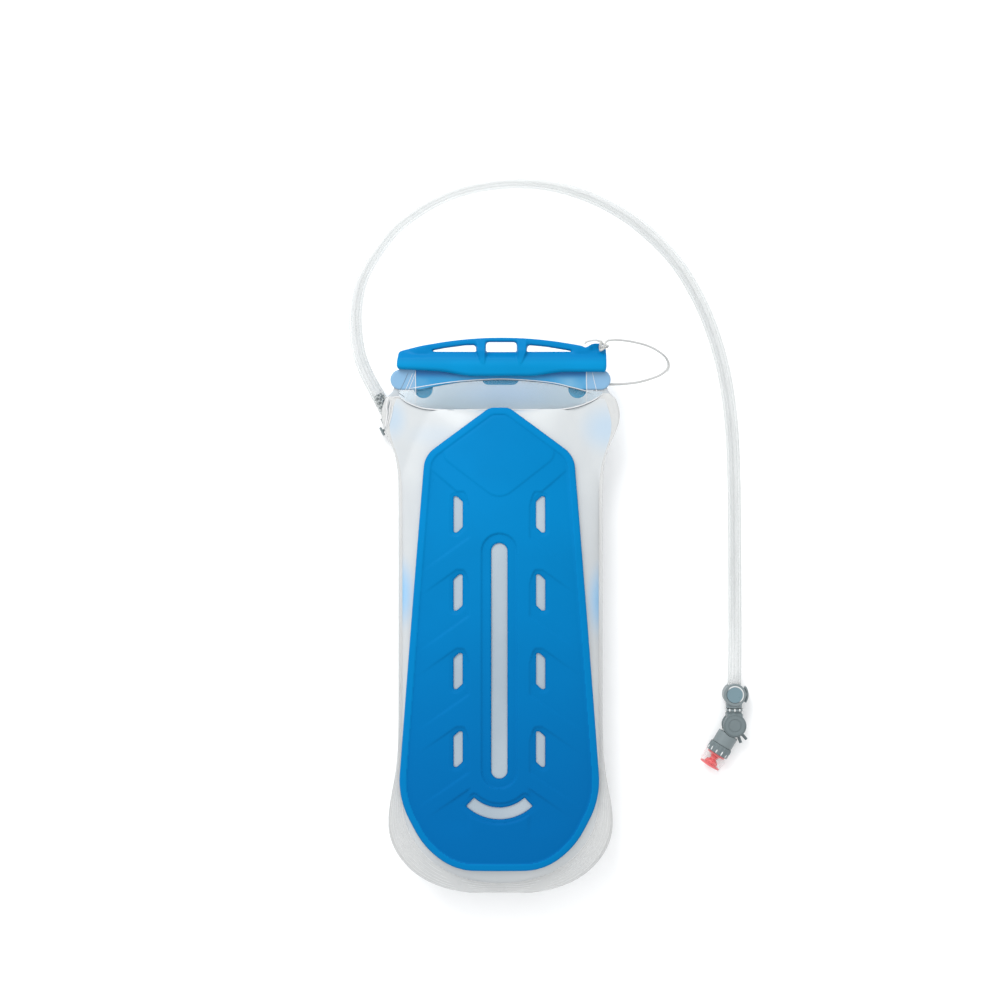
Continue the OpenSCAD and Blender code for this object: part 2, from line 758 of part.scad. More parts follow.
module bite_sheath() {
    color([0.95, 0.97, 0.97, 0.35]) on_bite() difference() {
        rod(8.9, 25.5, 36.4);
        rod(8.2, 26.8, 37);
        rod(7.4, 25, 28);
    }
}

// Two-pronged lever that shuts the valve, a horseshoe in the knuckle's groove
module shutoff_lever() {
    color("#737e83") on_valve() difference() {
        union() {
            translate([0, 0, -0.85]) difference() {
                cylinder(r = 8.1, h = 1.7);
                translate([0, 0, -1]) cylinder(r = 4.15, h = 4);
            }
            for (a = [-69, -49]) rotate([0, 0, a]) {
                translate([6.5, -0.85, -0.85]) cube([8, 1.7, 1.7]);
                translate([9, 0, 0]) rod(1.15, 0, 5.6);
            }
        }
        rotate([0, 0, bite_angle - 2]) translate([0, 0, -2]) linear_extrude(4)
            polygon([[0, 0], [20, 14], [20, -30], [-20, -40], [-14, -2]]);
    }
}

front_panel();
rear_panel();
closure_strip_front();
closure_strip_rear();
folded_mouth();
backer_plate();
backer_weld_spots();
port_flange();
port_gasket();
port_elbow();
dip_tube();
dip_tube_clamp();
leash_anchor();
slider();
leash_knot();
leash();
release_button();
button_spring();
hose_plug();
plug_oring();
hose();
valve_barb();
magnet_clip();
clip_magnet();
magnet_cap();
elbow_housing();
swivel_ring();
pivot_pin();
elbow_cap();
valve_barrel();
valve_oring();
valve_ring();
bite_core();
bite_sheath();
shutoff_lever();
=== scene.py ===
"""The looks of the hydration bladder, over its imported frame: a frosted film bag with a blue backer plate,
a slider, a clear drinking hose and a bite valve, lying on a pale floor under a camera that looks straight down.
Shapes are in millimetres, in the frame's axes, and become metres where each mesh is made."""

import math

import bpy
import numpy as np
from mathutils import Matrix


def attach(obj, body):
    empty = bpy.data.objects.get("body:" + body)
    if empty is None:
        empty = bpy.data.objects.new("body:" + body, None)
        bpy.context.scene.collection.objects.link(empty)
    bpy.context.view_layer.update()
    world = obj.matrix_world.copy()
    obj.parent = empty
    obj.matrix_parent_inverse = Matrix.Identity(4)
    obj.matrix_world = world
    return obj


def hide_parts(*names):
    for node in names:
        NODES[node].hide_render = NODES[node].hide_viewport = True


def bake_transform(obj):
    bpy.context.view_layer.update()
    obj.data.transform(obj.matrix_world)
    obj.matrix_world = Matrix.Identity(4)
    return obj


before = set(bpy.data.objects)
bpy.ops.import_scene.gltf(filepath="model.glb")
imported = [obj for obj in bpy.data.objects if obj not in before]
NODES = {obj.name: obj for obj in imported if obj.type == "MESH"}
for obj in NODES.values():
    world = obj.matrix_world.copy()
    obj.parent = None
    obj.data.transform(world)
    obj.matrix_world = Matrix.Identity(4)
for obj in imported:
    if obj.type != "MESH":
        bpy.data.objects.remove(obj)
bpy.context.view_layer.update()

MM = 0.001

# ---- Sizes shared with the CAD model, in millimetres ----

WELD_Z = 36.0
FILM_T = 0.6
FILM_TOP = 189.0
BAG_BOTTOM = -208.0
CHAMBER_BOTTOM = -200.9
CHAMBER_TURN = -138.0
CHAMBER_TOP = 154.0
CHAMBER_TOP_RISE = 9.0
MID_Y = -20.0
PLATE_TOP = 60.0
PLATE_T = 2.2
PLATE_RX = 200.0
PLATE_RY = 1100.0
PLATE_X = -0.9
PLATE_GAP = 0.7
PORT = (-48.0, 84.0)
PORT_PAD_Z = 22.0
REAR_BULGE = 41.3
PORT_PAD_R, PORT_BLEND_R = 20.0, 34.0
HOSE_D = 10.2
HOSE_BORE_R = 3.2
LEASH_D = 2.0
JAW_FRONT_Z = WELD_Z + 8
JAW_REAR_Z = WELD_Z - 7.2
JAW_TOP = 197.2
LUG = (76.5, 200.5)
BITE_ANGLE = math.radians(-121.5)
VALVE = np.array((178.2, -85.4, 9.2))

HOSE_ROUTE = [
    (-85.6, 151.9, 8), (-90.5, 160.7, 8), (-95.4, 169.5, 8), (-100, 177.9, 7.6), (-104.1, 186.4, 7),
    (-107.7, 196.4, 6.2), (-110.2, 208.7, 5.5), (-111.3, 224, 5.2), (-110.2, 239.5, 5.2),
    (-106.6, 254.8, 5.2), (-99, 270, 5.2), (-88.7, 285, 5.2), (-77, 297.8, 5.2), (-54, 313.6, 5.2),
    (-31, 323.4, 5.2), (-8, 328.4, 5.2), (15, 329.8, 5.2), (38, 327.8, 5.2), (61, 321.6, 5.2),
    (84, 311.4, 5.2), (107, 296, 5.2), (133, 270.2, 5.2), (152, 239.4, 5.2), (164.3, 208.7, 5.2),
    (172.3, 177, 5.2), (177, 140, 5.2), (178.6, 101, 5.2), (179.1, 60, 5.2), (179.3, 15, 5.4),
    (179.2, -20, 7.2), (178.7, -45, 9), (178.3, -60, 9.2), (178.2, -72.45, 9.2),
]
LEASH_ROUTE = [
    (80.5, 205.6, 40.6), (86, 206.2, 39), (95, 205.8, 34.5), (105, 204.4, 27.5), (113.5, 202.5, 19),
    (120.5, 199.6, 11), (126.5, 195.6, 4), (129, 190.6, 1.2), (127.5, 186.2, 2.2), (122, 181.8, 8),
    (113.5, 178.2, 16), (104, 175.4, 23.5), (94, 173.9, 29.2), (87, 173.4, 31.2), (79.4, 173.2, 31.6),
]


# ---- Camera, floor and light ----

def link(name, data):
    """A new object that holds data, in the scene."""
    thing = bpy.data.objects.new(name, data)
    bpy.context.scene.collection.objects.link(thing)
    return thing


def make_camera():
    """Straight above the object, far enough away for its heights not to spread it."""
    view_width, distance = 0.75, 1.5
    data = bpy.data.cameras.new("camera")
    data.sensor_width = 36
    data.lens = data.sensor_width * distance / view_width
    data.clip_end = 60
    camera = link("camera", data)
    camera.location = (-0.0004, 0.0863, WELD_Z * MM + distance)
    bpy.context.scene.camera = camera


def light_the_scene():
    """White surroundings, and a soft box that throws the shadow."""
    world = bpy.data.worlds.new("studio")
    bpy.context.scene.world = world
    world.use_nodes = True
    with_inputs(world.node_tree.nodes["Background"], {"Color": (0.98, 0.99, 1, 1), "Strength": 1.22})
    key = bpy.data.lights.new("key", "AREA")
    key.shape = "RECTANGLE"
    key.size, key.size_y = 0.9, 0.7
    key.energy = 13
    lamp = link("key", key)
    lamp.location = (-0.45, 0.92, 0.92)
    lamp.rotation_euler = [math.radians(angle) for angle in (-42, -27, 0)]
    bpy.context.scene.view_settings.view_transform = "Standard"


# ---- Materials ----

def linear(r, g, b):
    """A colour given as screen values from 0 to 255, as linear light."""
    shares = [c / 255 for c in (r, g, b)]
    return tuple(c / 12.92 if c <= 0.04045 else ((c + 0.055) / 1.055) ** 2.4 for c in shares)


def scaled(colour, by):
    return tuple(min(1.0, c * by) for c in colour) + (1.0,)


def with_inputs(node, values):
    """Sets a shader node's inputs by name."""
    for key, value in values.items():
        node.inputs[key].default_value = value
    return node


class Surface:
    """A Principled material whose colour, roughness and bump come from noise in the object's own space."""

    def __init__(self, name, roughness, alpha=1.0, coat=0.0, gloss=0.5):
        self.material = bpy.data.materials.new(name)
        self.material.use_nodes = True
        self.tree = self.material.node_tree
        self.shader = with_inputs(self.tree.nodes["Principled BSDF"], {
            "Roughness": roughness, "Alpha": alpha, "Coat Weight": coat, "Coat Roughness": 0.12,
            "Specular IOR Level": gloss})
        self.places = self.tree.nodes.new("ShaderNodeTexCoord").outputs["Object"]

    def node(self, kind, inputs=None, **values):
        made = self.tree.nodes.new(kind)
        for key, value in values.items():
            setattr(made, key, value)
        return with_inputs(made, inputs or {})

    def join(self, output, socket):
        self.tree.links.new(output, socket)

    def noise(self, scale, detail=3.0, stretch=(1, 1, 1)):
        mapping = self.node("ShaderNodeMapping", {"Scale": stretch})
        self.join(self.places, mapping.inputs["Vector"])
        texture = self.node("ShaderNodeTexNoise", {"Scale": scale, "Detail": detail})
        self.join(mapping.outputs["Vector"], texture.inputs["Vector"])
        return texture.outputs["Fac"]

    def blend_by(self, share, low, high, from_share=0.35, to_share=0.65):
        """A colour that runs from low to high as share does."""
        ramp = self.node("ShaderNodeValToRGB")
        ramp.color_ramp.elements[0].position = from_share
        ramp.color_ramp.elements[1].position = to_share
        ramp.color_ramp.elements[0].color = low
        ramp.color_ramp.elements[1].color = high
        self.join(share, ramp.inputs["Fac"])
        return ramp.outputs["Color"]

    def across(self, start, end, axis="X", folded=True):
        """From 0 to 1 as the distance from the middle plane, or the place, goes from start to end."""
        split = self.node("ShaderNodeSeparateXYZ")
        self.join(self.places, split.inputs["Vector"])
        value = split.outputs[axis]
        if folded:
            size = self.node("ShaderNodeMath", operation="ABSOLUTE")
            self.join(value, size.inputs[0])
            value = size.outputs[0]
        span = self.node("ShaderNodeMapRange", {"From Min": start, "From Max": end},
                         interpolation_type="SMOOTHSTEP")
        self.join(value, span.inputs["Value"])
        return span.outputs["Result"]

    def patch(self, place, size, strength):
        """A soft round patch about a place, in metres: strength at its middle and 0 at its rim."""
        away = self.node("ShaderNodeMapping", {"Location": place, "Scale": size}, vector_type="TEXTURE")
        self.join(self.places, away.inputs["Vector"])
        distance = self.node("ShaderNodeVectorMath", operation="LENGTH")
        self.join(away.outputs["Vector"], distance.inputs[0])
        span = self.node("ShaderNodeMapRange", {"From Min": 0.1, "To Min": strength, "To Max": 0.0},
                         interpolation_type="SMOOTHSTEP")
        self.join(distance.outputs["Value"], span.inputs["Value"])
        return span.outputs["Result"]

    def mixed(self, share, first, second):
        mix = self.node("ShaderNodeMix", data_type="RGBA")
        self.join(share, mix.inputs["Factor"])
        for value, socket in ((first, mix.inputs["A"]), (second, mix.inputs["B"])):
            if hasattr(value, "links"):
                self.join(value, socket)
            else:
                socket.default_value = value
        return mix.outputs["Result"]

    def colour(self, output):
        self.join(output, self.shader.inputs["Base Color"])
        return self

    def rough(self, scale, low, high):
        span = self.node("ShaderNodeMapRange", {"To Min": low, "To Max": high})
        self.join(self.noise(scale, 4), span.inputs["Value"])
        self.join(span.outputs["Result"], self.shader.inputs["Roughness"])
        return self

    def bumpy(self, *layers):
        """Bump from noise: each layer is (scale, depth in metres, stretch)."""
        normal = None
        for scale, depth, stretch in layers:
            bump = self.node("ShaderNodeBump", {"Distance": depth})
            self.join(self.noise(scale, 2, stretch), bump.inputs["Height"])
            if normal is not None:
                self.join(normal, bump.inputs["Normal"])
            normal = bump.outputs["Normal"]
        self.join(normal, self.shader.inputs["Normal"])
        return self


EVEN = (1, 1, 1)


def plastic(name, colour, roughness=0.42, shift=0.06, grain=0.00002, coat=0.0, gloss=0.5):
    """Moulded plastic: slow drift of colour, satin patches and a fine grain."""
    surface = Surface(name, roughness, coat=coat, gloss=gloss)
    surface.colour(surface.blend_by(surface.noise(22), scaled(colour, 1 - shift), scaled(colour, 1 + shift)))
    surface.rough(90, roughness - 0.07, roughness + 0.07)
    surface.bumpy((2600, grain, EVEN), (160, grain * 1.5, EVEN))
    return surface.material


def film(name, low, high, alpha, roughness=0.38, crinkle=0.00035, blue_light_patches=()):
    """Frosted film: cloudy patches, a soft gloss and long shallow crinkles. A patch of painted blue light is a
    soft blue patch where the film lies near something blue, standing in for that part's blue light: its place
    and size in metres, and its strength."""
    surface = Surface(name, roughness, alpha=alpha, coat=0.1, gloss=0.35)
    cloudy = surface.blend_by(surface.noise(14, 4, (1, 0.6, 1)), scaled(low, 1), scaled(high, 1), 0.3, 0.7)
    # painted blue light: each patch mixes a soft blue into the film's colour
    for place, size, strength in blue_light_patches:
        cloudy = surface.mixed(surface.patch(place, size, strength), cloudy, scaled(PAINTED_BLUE_LIGHT, 1))
    surface.colour(cloudy)
    surface.rough(60, roughness - 0.1, roughness + 0.08)
    surface.bumpy((45, crinkle, (1, 0.45, 1)), (900, crinkle * 0.08, EVEN))
    return surface.material


def clear(name, colour, alpha, roughness=0.08, edge=None):
    """Clear flexible plastic with faint streaks. The alpha rises to edge where the wall is seen edge on."""
    surface = Surface(name, roughness, alpha=alpha, coat=0.2)
    surface.colour(surface.blend_by(surface.noise(40), scaled(colour, 0.94), scaled(colour, 1.04)))
    surface.bumpy((120, 0.00006, EVEN),)
    if edge is not None:
        facing = surface.node("ShaderNodeLayerWeight", {"Blend": 0.42})
        span = surface.node("ShaderNodeMapRange", {"To Min": alpha, "To Max": edge})
        surface.join(facing.outputs["Facing"], span.inputs["Value"])
        surface.join(span.outputs["Result"], surface.shader.inputs["Alpha"])
    return surface.material


def strip_plastic(name):
    """The closure's blue strip under milky film, paler and more lilac towards its ears, and darker just below
    the slider as a painted shadow of it.
    """
    surface = Surface(name, 0.4, alpha=0.93, coat=0.1, gloss=0.3)
    cloud = surface.blend_by(surface.noise(30, 2, (1, 2, 1)), opaque(46, 158, 216), opaque(124, 188, 226),
                             0.45, 0.85)
    # painted shadow: the strip darkens in a band just below the slider
    band = surface.mixed(surface.across(0.1765, 0.1815, "Y", False), cloud, opaque(20, 122, 192))
    surface.colour(surface.mixed(surface.across(0.0632, 0.0646), band, opaque(142, 190, 228)))
    surface.bumpy((60, 0.0003, EVEN), (900, 0.00003, EVEN))
    return surface.material


def barbed(name):
    """The connector's grey barbs, painted in dark and light squares for the light and shade that their ribs and
    flutes catch in turn.
    """
    surface = Surface(name, 0.4, gloss=0.3)
    turned = surface.node("ShaderNodeMapping", {"Rotation": (0, 0, math.radians(-29))})
    surface.join(surface.places, turned.inputs["Vector"])
    # painted light and shade: light and dark squares stand for the ribs' highlights and shadows
    rib_light_and_shade = surface.node("ShaderNodeTexChecker", {
        "Scale": 560, "Color1": opaque(92, 102, 106), "Color2": opaque(206, 212, 212)})
    surface.join(turned.outputs["Vector"], rib_light_and_shade.inputs["Vector"])
    surface.colour(rib_light_and_shade.outputs["Color"])
    surface.bumpy((2600, 0.00002, EVEN),)
    return surface.material


def metal(name, colour, roughness):
    surface = Surface(name, roughness)
    with_inputs(surface.shader, {"Metallic": 1.0})
    surface.colour(surface.blend_by(surface.noise(200), scaled(colour, 0.85), scaled(colour, 1.0)))
    surface.rough(400, roughness - 0.06, roughness + 0.1)
    surface.bumpy((1500, 0.00001, (1, 1, 6)),)
    return surface.material


# Share of the light that a level face under this studio's lamps keeps, so that it renders as its screen colour
EXPOSED = 0.62
# Painted blue light: soft blue patches on the film where it lies near the blue plate, strip and slider,
# standing in for the blue light they throw into it
PAINTED_BLUE_LIGHT = (0.19, 0.42, 0.66)
PAINTED_BLUE_LIGHT_PATCHES = [((-0.0765, 0.0165, 0.04), (0.016, 0.034, 0.03), 0.95),
          ((0.0765, 0.0115, 0.04), (0.016, 0.036, 0.03), 0.92),
          ((0.078, 0.14, 0.04), (0.024, 0.024, 0.03), 0.34),
          ((0.0, 0.155, 0.04), (0.03, 0.006, 0.03), 0.5),
          ((-0.0805, 0.147, 0.04), (0.014, 0.02, 0.03), 0.3),
          ((-0.05, 0.135, 0.04), (0.03, 0.012, 0.03), 0.1)]
POCKET_PAINTED_BLUE_LIGHT = [((0.004, 0.1665, 0.04), (0.05, 0.016, 0.03), 0.8)]


def lit(r, g, b):
    """A screen colour as the base colour that renders as it in this studio."""
    return tuple(c * EXPOSED for c in linear(r, g, b))


def opaque(r, g, b):
    return scaled(lit(r, g, b), 1)


def make_materials():
    return {
        "film": film("film_frosted", lit(217, 222, 226), lit(235, 239, 240), 0.9, blue_light_patches=PAINTED_BLUE_LIGHT_PATCHES),
        "film_rear": film("film_frosted_rear", lit(206, 215, 221), lit(222, 229, 232), 0.9),
        # painted shade: a darker film behind the plate, where the chamber under it lies in shade
        "shaded": film("film_painted_shade_under_plate", lit(168, 186, 200), lit(196, 210, 221), 0.96),
        "seam": film("film_welded", lit(244, 246, 246), lit(252, 253, 252), 0.6, 0.3, 0.0002),
        "lip": film("film_lip", lit(212, 222, 230), lit(228, 235, 239), 0.5, 0.3, 0.0003),
        # painted shade and blue light: the pocket's clear film is tinted a dark blue-grey, with a patch of
        # painted blue light, for the shade and the strip's blue behind it
        "pocket": film("film_pocket", (0.16, 0.32, 0.4), (0.24, 0.38, 0.46), 0.1, 0.35, 0.0003, POCKET_PAINTED_BLUE_LIGHT),
        # painted highlight and painted shade: white beads and grey lines on the film's welds, arcs and folds
        "bead": film("film_painted_highlight", lit(252, 253, 254), lit(255, 255, 255), 0.9, 0.3, 0.0001),
        "crease": film("film_painted_shade_line", lit(120, 135, 145), lit(150, 163, 172), 0.6, 0.3, 0.0001),
        "mouth": film("film_mouth", lit(196, 210, 222), lit(214, 226, 234), 0.75),
        "strip": strip_plastic("closure_strip"),
        # painted shade: the plate's blue darkens towards its bottom; its rim hardly does
        "plate": plate_plastic("plate_blue", (0, 133, 199), (0, 112, 184)),
        "plate_rim": plate_plastic("plate_rim_blue", (0, 136, 203), (0, 131, 200)),
        "slider": slider_plastic("slider_blue"),
        "grey": plastic("valve_grey", lit(124, 137, 140), 0.45, 0.05, gloss=0.3),
        "light_grey": plastic("valve_light_grey", lit(139, 151, 154), 0.42, 0.05, gloss=0.3),
        "blue_grey": plastic("cap_blue_grey", lit(125, 153, 163), 0.3, 0.06, gloss=0.4),
        "dark_grey": plastic("valve_dark_grey", lit(84, 95, 100), 0.45, 0.06, gloss=0.3),
        "rubber": plastic("seal_rubber", lit(38, 40, 42), 0.6, 0.1),
        "hose": clear("hose_clear", lit(205, 212, 211), 0.08, 0.15, edge=0.62),
        # painted shade: a grey line along the middle of the clear hose
        "hose_painted_shade_line": clear("hose_painted_shade_line", lit(198, 205, 204), 0.22, 0.2),
        "barbed": barbed("barbs_grey"),
        "bore": clear("hose_bore", lit(222, 228, 227), 0.05, 0.2, edge=0.3),
        "dip": clear("dip_tube_clear", lit(214, 222, 224), 0.5, 0.15),
        "leash": clear("leash_clear", lit(222, 223, 221), 0.8, 0.25),
        "sheath": clear("sheath_clear", lit(252, 252, 252), 0.02, 0.12, edge=0.14),
        "coral": plastic("core_coral", lit(255, 108, 110), 0.32, 0.08, coat=0.3, gloss=0.3),
        "steel": metal("steel", linear(200, 202, 204), 0.3),
        "magnet": metal("magnet_plate", linear(180, 183, 186), 0.35),
        # white studs; the swivel ring's studs and the arc round the clip's disc are painted highlights
        "stud": plastic("stud_and_glint_white", lit(240, 243, 243), 0.25, 0.02, coat=0.3),
        "floor": plastic("floor_white", (0.93, 0.93, 0.93), 0.8, 0.004, 0.0, gloss=0.1),
    }


def plate_plastic(name, top, bottom):
    """The plate's satin blue, from its colour at the top of the plate to that at the bottom, where a darker
    blue is painted shade.
    """
    surface = Surface(name, 0.55, gloss=0.03)
    upper = surface.blend_by(surface.noise(18), scaled(lit(*top), 0.97), scaled(lit(*top), 1.03))
    # painted shade: the blue darkens towards the bottom of the plate
    surface.colour(surface.mixed(surface.across(0.09, -0.19, "Y", False), upper, opaque(*bottom)))
    surface.rough(90, 0.48, 0.62)
    surface.bumpy((2600, 0.00002, EVEN), (160, 0.00003, EVEN))
    return surface.material


def slider_plastic(name):
    """The slider's glossier blue, deeper in the hollow above the jaw's crown as painted shade, and lighter on
    the feet as painted light where they show through the film.
    """
    surface = Surface(name, 0.4, gloss=0.05)
    even = surface.blend_by(surface.noise(22), scaled(lit(0, 146, 208), 0.97), scaled(lit(0, 146, 208), 1.03))
    # painted shade: darker in the hollow above the jaw's crown
    hollow = surface.across(0.1885, 0.1945, "Y", False)
    # painted light: lighter on the feet, seen through the film
    feet = surface.across(0.1795, 0.1775, "Y", False)
    above = surface.mixed(hollow, even, opaque(0, 132, 198))
    surface.colour(surface.mixed(feet, above, opaque(20, 186, 246)))
    surface.rough(90, 0.3, 0.42)
    surface.bumpy((2600, 0.00002, EVEN), (160, 0.00003, EVEN))
    return surface.material


def dress(piece, *materials):
    """Gives a piece its materials."""
    if piece.data.materials:
        piece.data.materials.clear()
    for material in materials:
        piece.data.materials.append(material)
    return piece


def settle(piece, body, node=None):
    """Puts a piece on its body, in place of a CAD node if it has one."""
    if node:
        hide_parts(node)
    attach(piece, body)


# ---- Mesh helpers ----

def solid(name, points, faces, sharp_from=40):
    """A smooth-shaded mesh object from points in millimetres, with edges sharper than an angle kept sharp."""
    mesh = bpy.data.meshes.new(name)
    mesh.from_pydata((np.asarray(points, float) * MM).tolist(), [], [tuple(map(int, f)) for f in faces])
    mesh.update()
    mesh.shade_smooth()
    mesh.set_sharp_from_angle(angle=math.radians(sharp_from))
    return link(name, mesh)


def ramp(start, end, value):
    t = np.clip((value - start) / (end - start), 0, 1)
    return t * t * (3 - 2 * t)


def bell(value, at, width):
    return np.exp(-(((value - at) / width) ** 2))


def unit(v):
    v = np.asarray(v, float)
    return v / np.linalg.norm(v)


def rounded(corners, radii, steps=7):
    """A closed outline through corners, each rounded by an arc of its radius."""
    points = []
    count = len(corners)
    for i, radius in enumerate(radii):
        p = np.array(corners[i], float)
        back, on = unit(corners[i - 1] - p), unit(np.array(corners[(i + 1) % count]) - p)
        half = math.acos(float(np.clip(back @ on, -1, 1))) / 2
        centre = p + unit(back + on) * radius / math.sin(half)
        reach = radius / math.tan(half)
        first, last = p + back * reach - centre, p + on * reach - centre
        a = math.atan2(first[1], first[0])
        sweep = (math.atan2(last[1], last[0]) - a + math.pi) % (2 * math.pi) - math.pi
        for k in range(steps + 1):
            angle = a + sweep * k / steps
            points.append(centre + radius * np.array((math.cos(angle), math.sin(angle))))
    return np.array(points)


def depth_in(outline, x, y):
    """How far points lie inside a closed outline; negative outside it."""
    nearest = np.full(np.shape(x), np.inf)
    inside = np.zeros(np.shape(x), bool)
    for (ax, ay), (bx, by) in zip(outline, np.roll(outline, -1, axis=0)):
        ex, ey = bx - ax, by - ay
        length = ex * ex + ey * ey
        if length < 1e-12:
            continue
        t = np.clip(((x - ax) * ex + (y - ay) * ey) / length, 0, 1)
        nearest = np.minimum(nearest, (x - ax - t * ex) ** 2 + (y - ay - t * ey) ** 2)
        if by != ay:
            inside ^= ((ay > y) != (by > y)) & (x < ax + (y - ay) / (by - ay) * ex)
    return np.sqrt(nearest) * np.where(inside, 1, -1)


def fillet(depth, radius):
    """How far a rounded edge falls below its face, by the distance from the edge."""
    t = 1 - np.clip(depth, 0, radius) / radius
    return radius * (1 - np.sqrt(np.maximum(0, 1 - t * t)))


def cut_solid(name, depth, corner_low, corner_high, pitch, top, low, sharp_from=50):
    """A solid between two height functions, cut where depth(x, y) reaches 0."""
    xs = np.arange(corner_low[0], corner_high[0] + pitch, pitch)
    ys = np.arange(corner_low[1], corner_high[1] + pitch, pitch)
    gx, gy = np.meshgrid(xs, ys)
    d = depth(gx, gy)
    d = np.where(np.abs(d) < 0.04 * pitch, -0.04 * pitch, d)
    places, on_edge, index, cells, walls = [], [], {}, [], []

    def corner(j, i):
        key = (j, i)
        if key not in index:
            index[key] = len(places)
            places.append((xs[i], ys[j]))
            on_edge.append(False)
        return index[key]

    def crossing(a, b):
        key = (min(a, b), max(a, b))
        if key not in index:
            t = d[a] / (d[a] - d[b])
            index[key] = len(places)
            places.append((xs[a[1]] + t * (xs[b[1]] - xs[a[1]]), ys[a[0]] + t * (ys[b[0]] - ys[a[0]])))
            on_edge.append(True)
        return index[key]

    inside = d > 0
    some = inside[:-1, :-1] | inside[1:, :-1] | inside[:-1, 1:] | inside[1:, 1:]
    for j, i in zip(*np.nonzero(some)):
        ring = [(j, i), (j, i + 1), (j + 1, i + 1), (j + 1, i)]
        cell = []
        for a, b in zip(ring, ring[1:] + ring[:1]):
            if inside[a]:
                cell.append(corner(*a))
            if inside[a] != inside[b]:
                cell.append(crossing(a, b))
        if len(cell) > 2:
            cells.append(cell)
            for a, b in zip(cell, cell[1:] + cell[:1]):
                if on_edge[a] and on_edge[b]:
                    walls.append((a, b))
    px, py = np.array(places).T
    edge = np.array(on_edge)
    dd = np.where(edge, 0, np.maximum(depth(px, py), 0))
    upper = np.column_stack((px, py, top(px, py, dd)))
    lower = np.column_stack((px, py, low(px, py, dd)))
    n = len(places)
    faces = cells + [[v + n for v in reversed(cell)] for cell in cells]
    faces += [(b, a, a + n, b + n) for a, b in walls]
    return solid(name, np.vstack((upper, lower)), faces, sharp_from)


def curve(points, steps):
    """A smooth curve through points, as the CAD model sweeps its bars."""
    p = np.array(points, float)
    n = len(p) - 1
    out = []
    for i in range(n):
        a, b, c, d = p[max(i - 1, 0)], p[i], p[i + 1], p[min(i + 2, n)]
        for t in np.arange(steps) / steps:
            out.append(0.5 * (2 * b + (c - a) * t + (2 * a - 5 * b + 4 * c - d) * t**2
                              + (3 * b - a - 3 * c + d) * t**3))
    return np.array(out + [p[n]])


def rings(line, radii, sides, up=(0, 0, 1)):
    """Rings of points round a line, one for each of its points, with its own radius."""
    out = []
    for i, p in enumerate(line):
        along = unit(line[min(i + 1, len(line) - 1)] - line[max(i - 1, 0)])
        side = unit(np.cross(along, up))
        top = np.cross(side, along)
        for k in range(sides):
            a = 2 * math.pi * k / sides
            out.append(p + radii[i] * (side * math.cos(a) + top * math.sin(a)))
    return out


def skin(count, sides, offset=0, flip=False):
    faces = []
    for i in range(count - 1):
        for k in range(sides):
            a, b = offset + i * sides + k, offset + i * sides + (k + 1) % sides
            faces.append((a, a + sides, b + sides, b))
    return [tuple(reversed(f)) for f in faces] if flip else faces


def rod(name, line, radius, sides=12, up=(0, 0, 1)):
    """A round bar with closed ends along a line."""
    line = np.asarray(line, float)
    radii = np.full(len(line), radius) if np.isscalar(radius) else radius
    points = rings(line, radii, sides, up)
    last = (len(line) - 1) * sides
    faces = skin(len(line), sides) + [tuple(range(sides)), tuple(last + k for k in reversed(range(sides)))]
    return solid(name, points, faces)


def joined(name, pieces):
    """One object made of several, keeping their materials."""
    bpy.ops.object.select_all(action="DESELECT")
    for piece in pieces:
        piece.select_set(True)
    bpy.context.view_layer.objects.active = pieces[0]
    bpy.ops.object.join()
    pieces[0].name = name
    return pieces[0]


def moulded(node, voxel, passes):
    """The CAD node's shape with its edges rounded as a moulding's are."""
    piece = link(node + "_moulded", NODES[node].data.copy())
    remesh = piece.modifiers.new("remesh", "REMESH")
    remesh.mode = "VOXEL"
    remesh.voxel_size = voxel * MM
    soften = piece.modifiers.new("soften", "SMOOTH")
    soften.factor = 0.5
    soften.iterations = passes
    shape = bpy.data.meshes.new_from_object(piece.evaluated_get(bpy.context.evaluated_depsgraph_get()))
    piece.modifiers.clear()
    piece.data = shape
    shape.shade_smooth()
    return piece


def keep(node, material):
    """A CAD node that stays, with a better material."""
    return dress(NODES[node], material)


# ---- Cords ----


def make_hose(materials):
    """The clear hose with its bore, opened a little where it is pushed over the barbs."""
    line = curve(HOSE_ROUTE, 10)
    sides = 28
    travelled = np.concatenate(([0], np.cumsum(np.linalg.norm(np.diff(line, axis=0), axis=1))))
    near_end = np.minimum(travelled, travelled[-1] - travelled)
    opened = 1 - ramp(15, 24, near_end)
    bore = HOSE_BORE_R + 1.1 * opened
    wall = HOSE_D / 2 + 0.15 * opened
    outer, inner = rings(line, wall, sides), rings(line, bore, sides)
    n, count = len(outer), len(line)
    faces = skin(count, sides) + skin(count, sides, n, flip=True)
    for start, flip in ((0, False), ((count - 1) * sides, True)):
        for k in range(sides):
            a, b = start + k, start + (k + 1) % sides
            face = (a, b, b + n, a + n)
            faces.append(tuple(reversed(face)) if flip else face)
    hose = solid("drinking_hose", outer + inner, faces)
    dress(hose, materials["hose"], materials["bore"], materials["hose_painted_shade_line"])
    # painted shade line: the bore's lowest faces wear a greyer, less clear material
    for polygon in hose.data.polygons:
        in_bore = min(polygon.vertices) >= n
        polygon.material_index = (2 if polygon.normal.z > 0.985 else 1) if in_bore else 0
    settle(hose, "hose", "hose")


def make_leash(materials):
    """The clear elastic leash from the slider's lug to the bead under the right ear."""
    line = curve(LEASH_ROUTE, 8)
    leash = dress(rod("leash_cord", line, LEASH_D / 2 - 0.1, 12, (0.1, 0, 1)), materials["leash"])
    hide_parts("leash")
    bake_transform(leash)


# ---- The film bag ----

